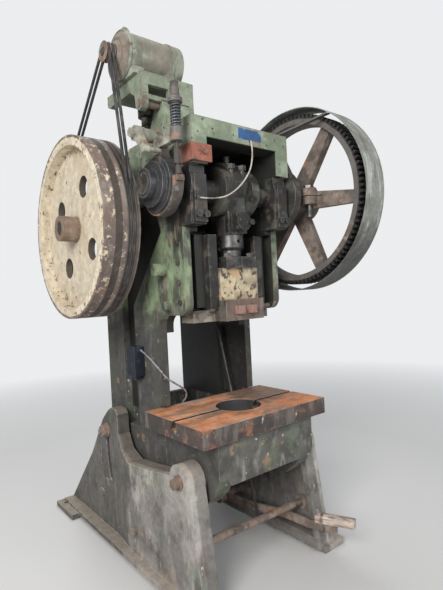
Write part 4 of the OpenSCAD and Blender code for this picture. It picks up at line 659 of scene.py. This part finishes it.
# ---------------------------------------------------------------- brake
# A band brake on the left end of the crankshaft: a turned drum, an iron band with a lining, and a lever that a sprung
# rod pulls tight. The spring sits between a socket on the cheek and a turned cap.
drum_steel = finish("drum_steel", (0.105, 0.107, 0.112), (0.075, 0.076, 0.08), 0.34, [
    ("patch", (0.05, 0.048, 0.046), 0.5, {"scale": 12, "level": 0.54, "soft": 0.07, "most": 0.8}),
    ("patch", (0.17, 0.13, 0.10), 0.7, {"scale": 18, "level": 0.62, "soft": 0.04, "metal": 0.0, "most": 0.7}),
    ("edge", (0.40, 0.39, 0.38), 0.3, {"level": 0.40}),
], metal=0.6, pits=(80, 0.0003), edge=0.002)
paint(drum_steel, "brake_drum")
rod_x, rod_y = -0.374, -0.677
rod_axis = ("z", rod_x, rod_y)
brake_iron = finish("brake_iron", (0.30, 0.285, 0.24), (0.215, 0.20, 0.165), 0.7, [
    ("patch", (0.085, 0.075, 0.065), 0.6, {"scale": 14, "level": 0.57, "soft": 0.05, "most": 0.8}),
    ("patch", (0.40, 0.40, 0.32), 0.65, {"scale": 8, "level": 0.55, "soft": 0.05, "most": 0.8}),
    (None, (0.10, 0.09, 0.085), 0.55, {"where": [(rod_axis, None, 0.0285, 0.001)], "loose": 0.0, "most": 0.8}),
    ("patch", (0.26, 0.15, 0.095), 0.85, {"scale": 18, "level": 0.61, "soft": 0.04}),
    ("edge", (0.42, 0.39, 0.34), 0.5, {"level": 0.44, "scale": 30}),
], pits=(80, 0.0008), edge=0.003)
paint(brake_iron, "brake_bracket", "brake_lever")
band_iron = finish("band_iron", (0.10, 0.083, 0.07), (0.065, 0.056, 0.05), 0.6, [
    ("patch", (0.34, 0.17, 0.11), 0.8, {"scale": 9, "level": 0.57, "soft": 0.04, "most": 0.85}),
    ("patch", (0.24, 0.225, 0.20), 0.6, {"scale": 16, "level": 0.60, "soft": 0.05, "most": 0.8}),
    ("edge", (0.32, 0.28, 0.24), 0.45, {"level": 0.44}),
], metal=0.1, pits=(90, 0.0006), edge=0.002)
paint(band_iron, "brake_band")
jack_iron = finish("jack_iron", (0.05, 0.046, 0.042), (0.028, 0.027, 0.026), 0.5, [
    ("patch", (0.13, 0.12, 0.095), 0.7, {"scale": 22, "level": 0.60, "soft": 0.05}),
    ("edge", (0.16, 0.15, 0.14), 0.4, {"level": 0.42, "scale": 50}),
], metal=0.2, pits=(100, 0.0006), edge=0.0015, threads=("z", 0.006, 0.001))
paint(jack_iron, "plate_screw")
rod_steel = finish("rod_steel", (0.14, 0.125, 0.115), (0.10, 0.09, 0.082), 0.5, [
    ("patch", (0.20, 0.16, 0.135), 0.7, {"scale": 22, "level": 0.58, "soft": 0.05}),
    ("edge", (0.36, 0.34, 0.32), 0.4, {"level": 0.42, "scale": 50}),
], metal=0.35, pits=(100, 0.0003), edge=0.0015, threads=("z", 0.003, 0.0007))
paint(rod_steel, "brake_rod")
cap_iron = finish("spring_cap_iron", (0.155, 0.135, 0.125), (0.115, 0.10, 0.095), 0.6, [
    ("patch", (0.23, 0.19, 0.165), 0.7, {"scale": 20, "level": 0.56, "soft": 0.06}),
    ("edge", (0.34, 0.30, 0.27), 0.5, {"level": 0.44}),
], pits=(90, 0.0005), edge=0.004)
paint(cap_iron, "spring_cap")
spring_steel = finish("spring_steel", (0.16, 0.18, 0.215), (0.10, 0.112, 0.14), 0.38, [
    ("patch", (0.14, 0.105, 0.08), 0.75, {"scale": 30, "level": 0.60, "soft": 0.05, "metal": 0.0}),
], metal=0.5, pits=(140, 0.0002), edge=0.001)

coil_turns, coil_steps, end_turns = 9, 36, 0.75
coil_radius, wire_radius = 0.020, 0.0034
coil_foot, coil_rise = 2.0340, 0.0926
coil_line = []
for k in range(coil_turns * coil_steps + 1):
    turn = k / coil_steps
    # The end turns lie flat on the socket and under the cap
    climb = min(max((turn - end_turns) / (coil_turns - 2 * end_turns), 0), 1)
    first_end = wire_radius * min(turn, end_turns) / end_turns
    last_end = wire_radius * max(turn - coil_turns + end_turns, 0) / end_turns
    level_z = coil_foot + first_end + climb * coil_rise + last_end
    angle = 2 * math.pi * turn
    coil_line.append(Vector((rod_x + coil_radius * math.cos(angle), rod_y + coil_radius * math.sin(angle), level_z)))
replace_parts(round_tube("coil_spring", coil_line, 0.0034, spring_steel, "frame_body", 10), "brake_spring")

# ---------------------------------------------------------------- stop bracket, oil pipe
# A small plate in faded red on the left of the crown, and a pale plastic oil pipe looped across the window.
red_paint = finish("red_paint", (0.36, 0.125, 0.08), (0.27, 0.095, 0.065), 0.62, [
    ("patch", (0.11, 0.075, 0.06), 0.7, {"scale": 16, "level": 0.57, "soft": 0.05}),
    ("patch", (0.42, 0.20, 0.15), 0.65, {"scale": 10, "level": 0.56, "soft": 0.06}),
    ("edge", (0.16, 0.13, 0.11), 0.5, {"level": 0.46}),
], pits=(90, 0.0006), edge=0.002)
paint(red_paint, "stop_bracket")
pipe_plastic = finish("pipe_plastic", (0.50, 0.48, 0.43), (0.42, 0.40, 0.35), 0.5, [
    ("patch", (0.20, 0.17, 0.13), 0.6, {"scale": 12, "level": 0.58, "soft": 0.06}),
], pits=(100, 0.0001), edge=0.001)
pipe_route = [
    (0.043, -0.681, 2.046), (0.042, -0.688, 2.010), (0.036, -0.692, 1.960), (0.018, -0.694, 1.905),
    (-0.012, -0.694, 1.860), (-0.050, -0.694, 1.820), (-0.095, -0.693, 1.786), (-0.145, -0.691, 1.762),
    (-0.195, -0.688, 1.752), (-0.240, -0.684, 1.749), (-0.264, -0.679, 1.750), (-0.276, -0.674, 1.751),
]
bent_pipe = round_tube("bent_oil_pipe", bent_line(pipe_route, 6), 0.0035, pipe_plastic, "frame_body")
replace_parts(bent_pipe, "oil_pipe")


def turned_piece(name, centre, axis, outline, material, body, sides=32):
    """A turned or hexagonal part: an outline of (radius, height) pairs spun round the axis, closed at both ends."""
    made = bmesh.new()
    side = axis.orthogonal().normalized()
    rings = [ring_of(made, centre + axis * up, r, side, axis.cross(side), sides) for r, up in outline]
    join_rings(made, rings, sides > 12)
    piece = new_piece(name, made, material)
    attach(piece, body)
    return piece


# The pipe's fittings: a hexagon at each end
forward = Vector((0, -1, 0))
hexagon = [(0.0075, 0), (0.0080, 0.0006), (0.0080, 0.0050), (0.0070, 0.0058)]
for name, x, z in (("pipe_fitting_low", -0.276, 1.751), ("pipe_fitting_high", 0.043, 2.046)):
    turned_piece(name, Vector((x, -0.6754, z)), forward, hexagon, rod_steel, "frame_body", 6)

# ---------------------------------------------------------------- number plate, lifting eye
# A thin plate in faded blue, with nothing on it, is pinned to the crown; an eye screwed into the motor lifts it.
plate_blue = finish("plate_blue", (0.035, 0.105, 0.26), (0.028, 0.085, 0.21), 0.42, [
    ("patch", (0.36, 0.40, 0.44), 0.5, {"scale": 22, "level": 0.60, "soft": 0.05, "most": 0.7}),
    ("patch", (0.09, 0.075, 0.06), 0.75, {"scale": 30, "level": 0.64, "soft": 0.03}),
    ("edge", (0.42, 0.42, 0.40), 0.5, {"level": 0.44}),
], pits=(200, 0.0001), edge=0.0008)
plate_x, plate_z, corner_radius = 0.043, 2.072, 0.006
plate_front, plate_back = -0.6764, -0.6751
outline = []
for x, z, start in ((0.0665, 0.019, 0), (-0.0665, 0.019, 90), (-0.0665, -0.019, 180), (0.0665, -0.019, 270)):
    for k in range(7):
        turn = math.radians(start + 15 * k)
        outline.append((plate_x + x + corner_radius * math.cos(turn), plate_z + z + corner_radius * math.sin(turn)))
made = bmesh.new()
join_rings(made, [[made.verts.new((x, y, z)) for x, z in outline] for y in (plate_front, plate_back)], False)
bmesh.ops.recalc_face_normals(made, faces=made.faces)
number_plate = new_piece("number_plate", made, plate_blue)
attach(number_plate, "frame_body")
for number, x in enumerate((-0.021, 0.107)):
    turned_piece(f"plate_pin_{number + 1}", Vector((x, -0.6762, plate_z)), forward,
        [(0.0028, 0), (0.0028, 0.0006), (0.0020, 0.0014), (0.0008, 0.0017)], rod_steel, "frame_body", 16)
eye_middle = Vector((-0.386, -0.305, 2.601))
eye_radius, eye_wire, eye_steps, wire_sides = 0.0165, 0.0055, 48, 14
made = bmesh.new()
hoops = []
for k in range(eye_steps):
    angle = 2 * math.pi * k / eye_steps
    out = Vector((math.sin(angle), 0, math.cos(angle)))
    hoops.append(ring_of(made, eye_middle + eye_radius * out, eye_wire, out, Vector((0, 1, 0)), wire_sides))
join_rings(made, hoops + hoops[:1], True, closed_ends=False)
bmesh.ops.recalc_face_normals(made, faces=made.faces)
lifting_eye = new_piece("lifting_eye", made, motor_paint)
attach(lifting_eye, "frame_body")
turned_piece("lifting_eye_collar", Vector((eye_middle.x, eye_middle.y, 2.5775)), Vector((0, 0, 1)),
    [(0.0135, 0), (0.0140, 0.0008), (0.0140, 0.0055), (0.0100, 0.0075), (0.0070, 0.0095)], motor_paint, "frame_body")

# ---------------------------------------------------------------- ram
# The slide is cast iron with thick cream paint that has cracked and flaked on its front; its flanges are bare and
# oily where they run in the gibs. The shank clamp is held by two square-headed bolts.
slide_paint = finish("slide_paint", (0.20, 0.17, 0.14), (0.12, 0.105, 0.09), 0.6, [
    ("patch", (0.30, 0.275, 0.235), 0.6, {"scale": 12, "level": 0.56, "soft": 0.05, "most": 0.8}),
    (None, (0.68, 0.56, 0.36), 0.6, {"where": [("z", 1.262, 1.46, 0.006), ("wide", None, 0.150, 0.004),
        ("y", None, -0.60, 0.01)], "loose": 0.03, "height": 0.0007}),
    ("patch", (0.50, 0.30, 0.155), 0.65, {"scale": 10, "level": 0.60, "soft": 0.04,
        "where": [("z", 1.25, 1.46, 0.01), ("wide", None, 0.155, 0.01)], "most": 0.8}),
    ("patch", (0.10, 0.075, 0.055), 0.7, {"scale": 24, "level": 0.56, "soft": 0.015, "grain": 0.75,
        "where": [("z", 1.22, 1.46, 0.01)], "height": -0.0009}),
    ("patch", (0.62, 0.55, 0.42), 0.6, {"scale": 18, "level": 0.60, "soft": 0.02,
        "where": [("z", None, 1.27, 0.01), ("y", None, -0.6, 0.01)], "height": 0.0005}),
    ("edge", (0.36, 0.31, 0.25), 0.5, {"level": 0.44}),
    (None, (0.035, 0.034, 0.033), 0.4, {"where": [("wide", 0.1995, None, 0.004), ("z", 1.262, None, 0.004)],
        "loose": 0.0, "most": 0.9}),
], pits=(60, 0.0008), edge=0.003)
paint(slide_paint, "slide")
bolt_heads = ("y", None, -0.6355, 0.001)
clamp_iron = finish("clamp_iron", (0.135, 0.108, 0.09), (0.09, 0.076, 0.066), 0.7, [
    ("streak", (0.24, 0.20, 0.17), 0.75, {"scale": 18, "level": 0.57, "soft": 0.06, "stretch": (1, 1, 0.3),
        "most": 0.8}),
    ("patch", (0.05, 0.045, 0.04), 0.55, {"scale": 14, "level": 0.56, "soft": 0.05, "most": 0.85}),
    (None, (0.33, 0.18, 0.14), 0.8, {"where": [bolt_heads], "loose": 0.0, "most": 0.92}),
    ("patch", (0.24, 0.13, 0.10), 0.85, {"scale": 40, "level": 0.56, "soft": 0.05, "where": [bolt_heads],
        "most": 0.7}),
    ("edge", (0.46, 0.38, 0.32), 0.5, {"level": 0.42, "scale": 30}),
], pits=(80, 0.0008), edge=0.003)
paint(clamp_iron, "shank_clamp")

# ---------------------------------------------------------------- treadle board
# A split piece of hardwood tied on the end of the treadle, rounded and bleached by use.
board_wood = finish("board_wood", (0.56, 0.46, 0.40), (0.46, 0.37, 0.31), 0.85, [
    ("streak", (0.30, 0.215, 0.165), 0.9, {"scale": 60, "level": 0.54, "soft": 0.07, "stretch": (0.35, 0.16, 1.2),
        "height": -0.0010}),
    ("streak", (0.68, 0.60, 0.55), 0.85, {"scale": 40, "level": 0.58, "soft": 0.06, "stretch": (0.35, 0.16, 1.2)}),
    ("patch", (0.28, 0.17, 0.11), 0.9, {"scale": 16, "level": 0.60, "soft": 0.05, "most": 0.8}),
    ("edge", (0.66, 0.58, 0.52), 0.85, {"level": 0.42}),
], pits=(60, 0.0006), edge=0.008)
paint(board_wood, "treadle_board")
# Three turns of rusty wire hold the board on the lever
along = Vector((0.061, -0.135, 0)).normalized()
across = Vector((-along.y, along.x, 0))
lever_spot = Vector((0.272, -0.715, 0.1775))
wire_turns, turn_steps, half_width, half_height, squareness = 3, 32, 0.0265, 0.0395, 0.35
wire_line = []
for k in range(wire_turns * turn_steps + 1):
    turn = 2 * math.pi * k / turn_steps
    # A circle pushed out towards a rectangle, as the wire lies round the board and the lever
    wide, tall = (math.copysign(abs(value) ** squareness, value) for value in (math.cos(turn), math.sin(turn)))
    wire_line.append(lever_spot + along * (0.070 + 0.005 * k / turn_steps) + across * half_width * wide
        + Vector((0, 0, half_height * tall)))
round_tube("binding_wire", wire_line, 0.0018, rusty_iron, "treadle", 8)

# ---------------------------------------------------------------- switch box and its lead
# A dark moulded switch box is screwed on the left cheek. The lead that was made first takes its grey sheath here.
switch_plastic = finish("switch_plastic", (0.006, 0.009, 0.016), (0.012, 0.016, 0.027), 0.5, [
    ("patch", (0.04, 0.048, 0.06), 0.6, {"scale": 20, "level": 0.62, "soft": 0.05}),
    ("edge", (0.09, 0.11, 0.15), 0.35, {"level": 0.4}),
], pits=(200, 0.0001), edge=0.003)
paint(switch_plastic, "switch_box")
lead_sheath = finish("lead_sheath", (0.30, 0.30, 0.31), (0.22, 0.22, 0.23), 0.5, [
    ("patch", (0.10, 0.09, 0.08), 0.7, {"scale": 30, "level": 0.58, "soft": 0.06}),
], pits=(200, 0.0001), edge=0.001)
switch_lead.data.materials.append(lead_sheath)
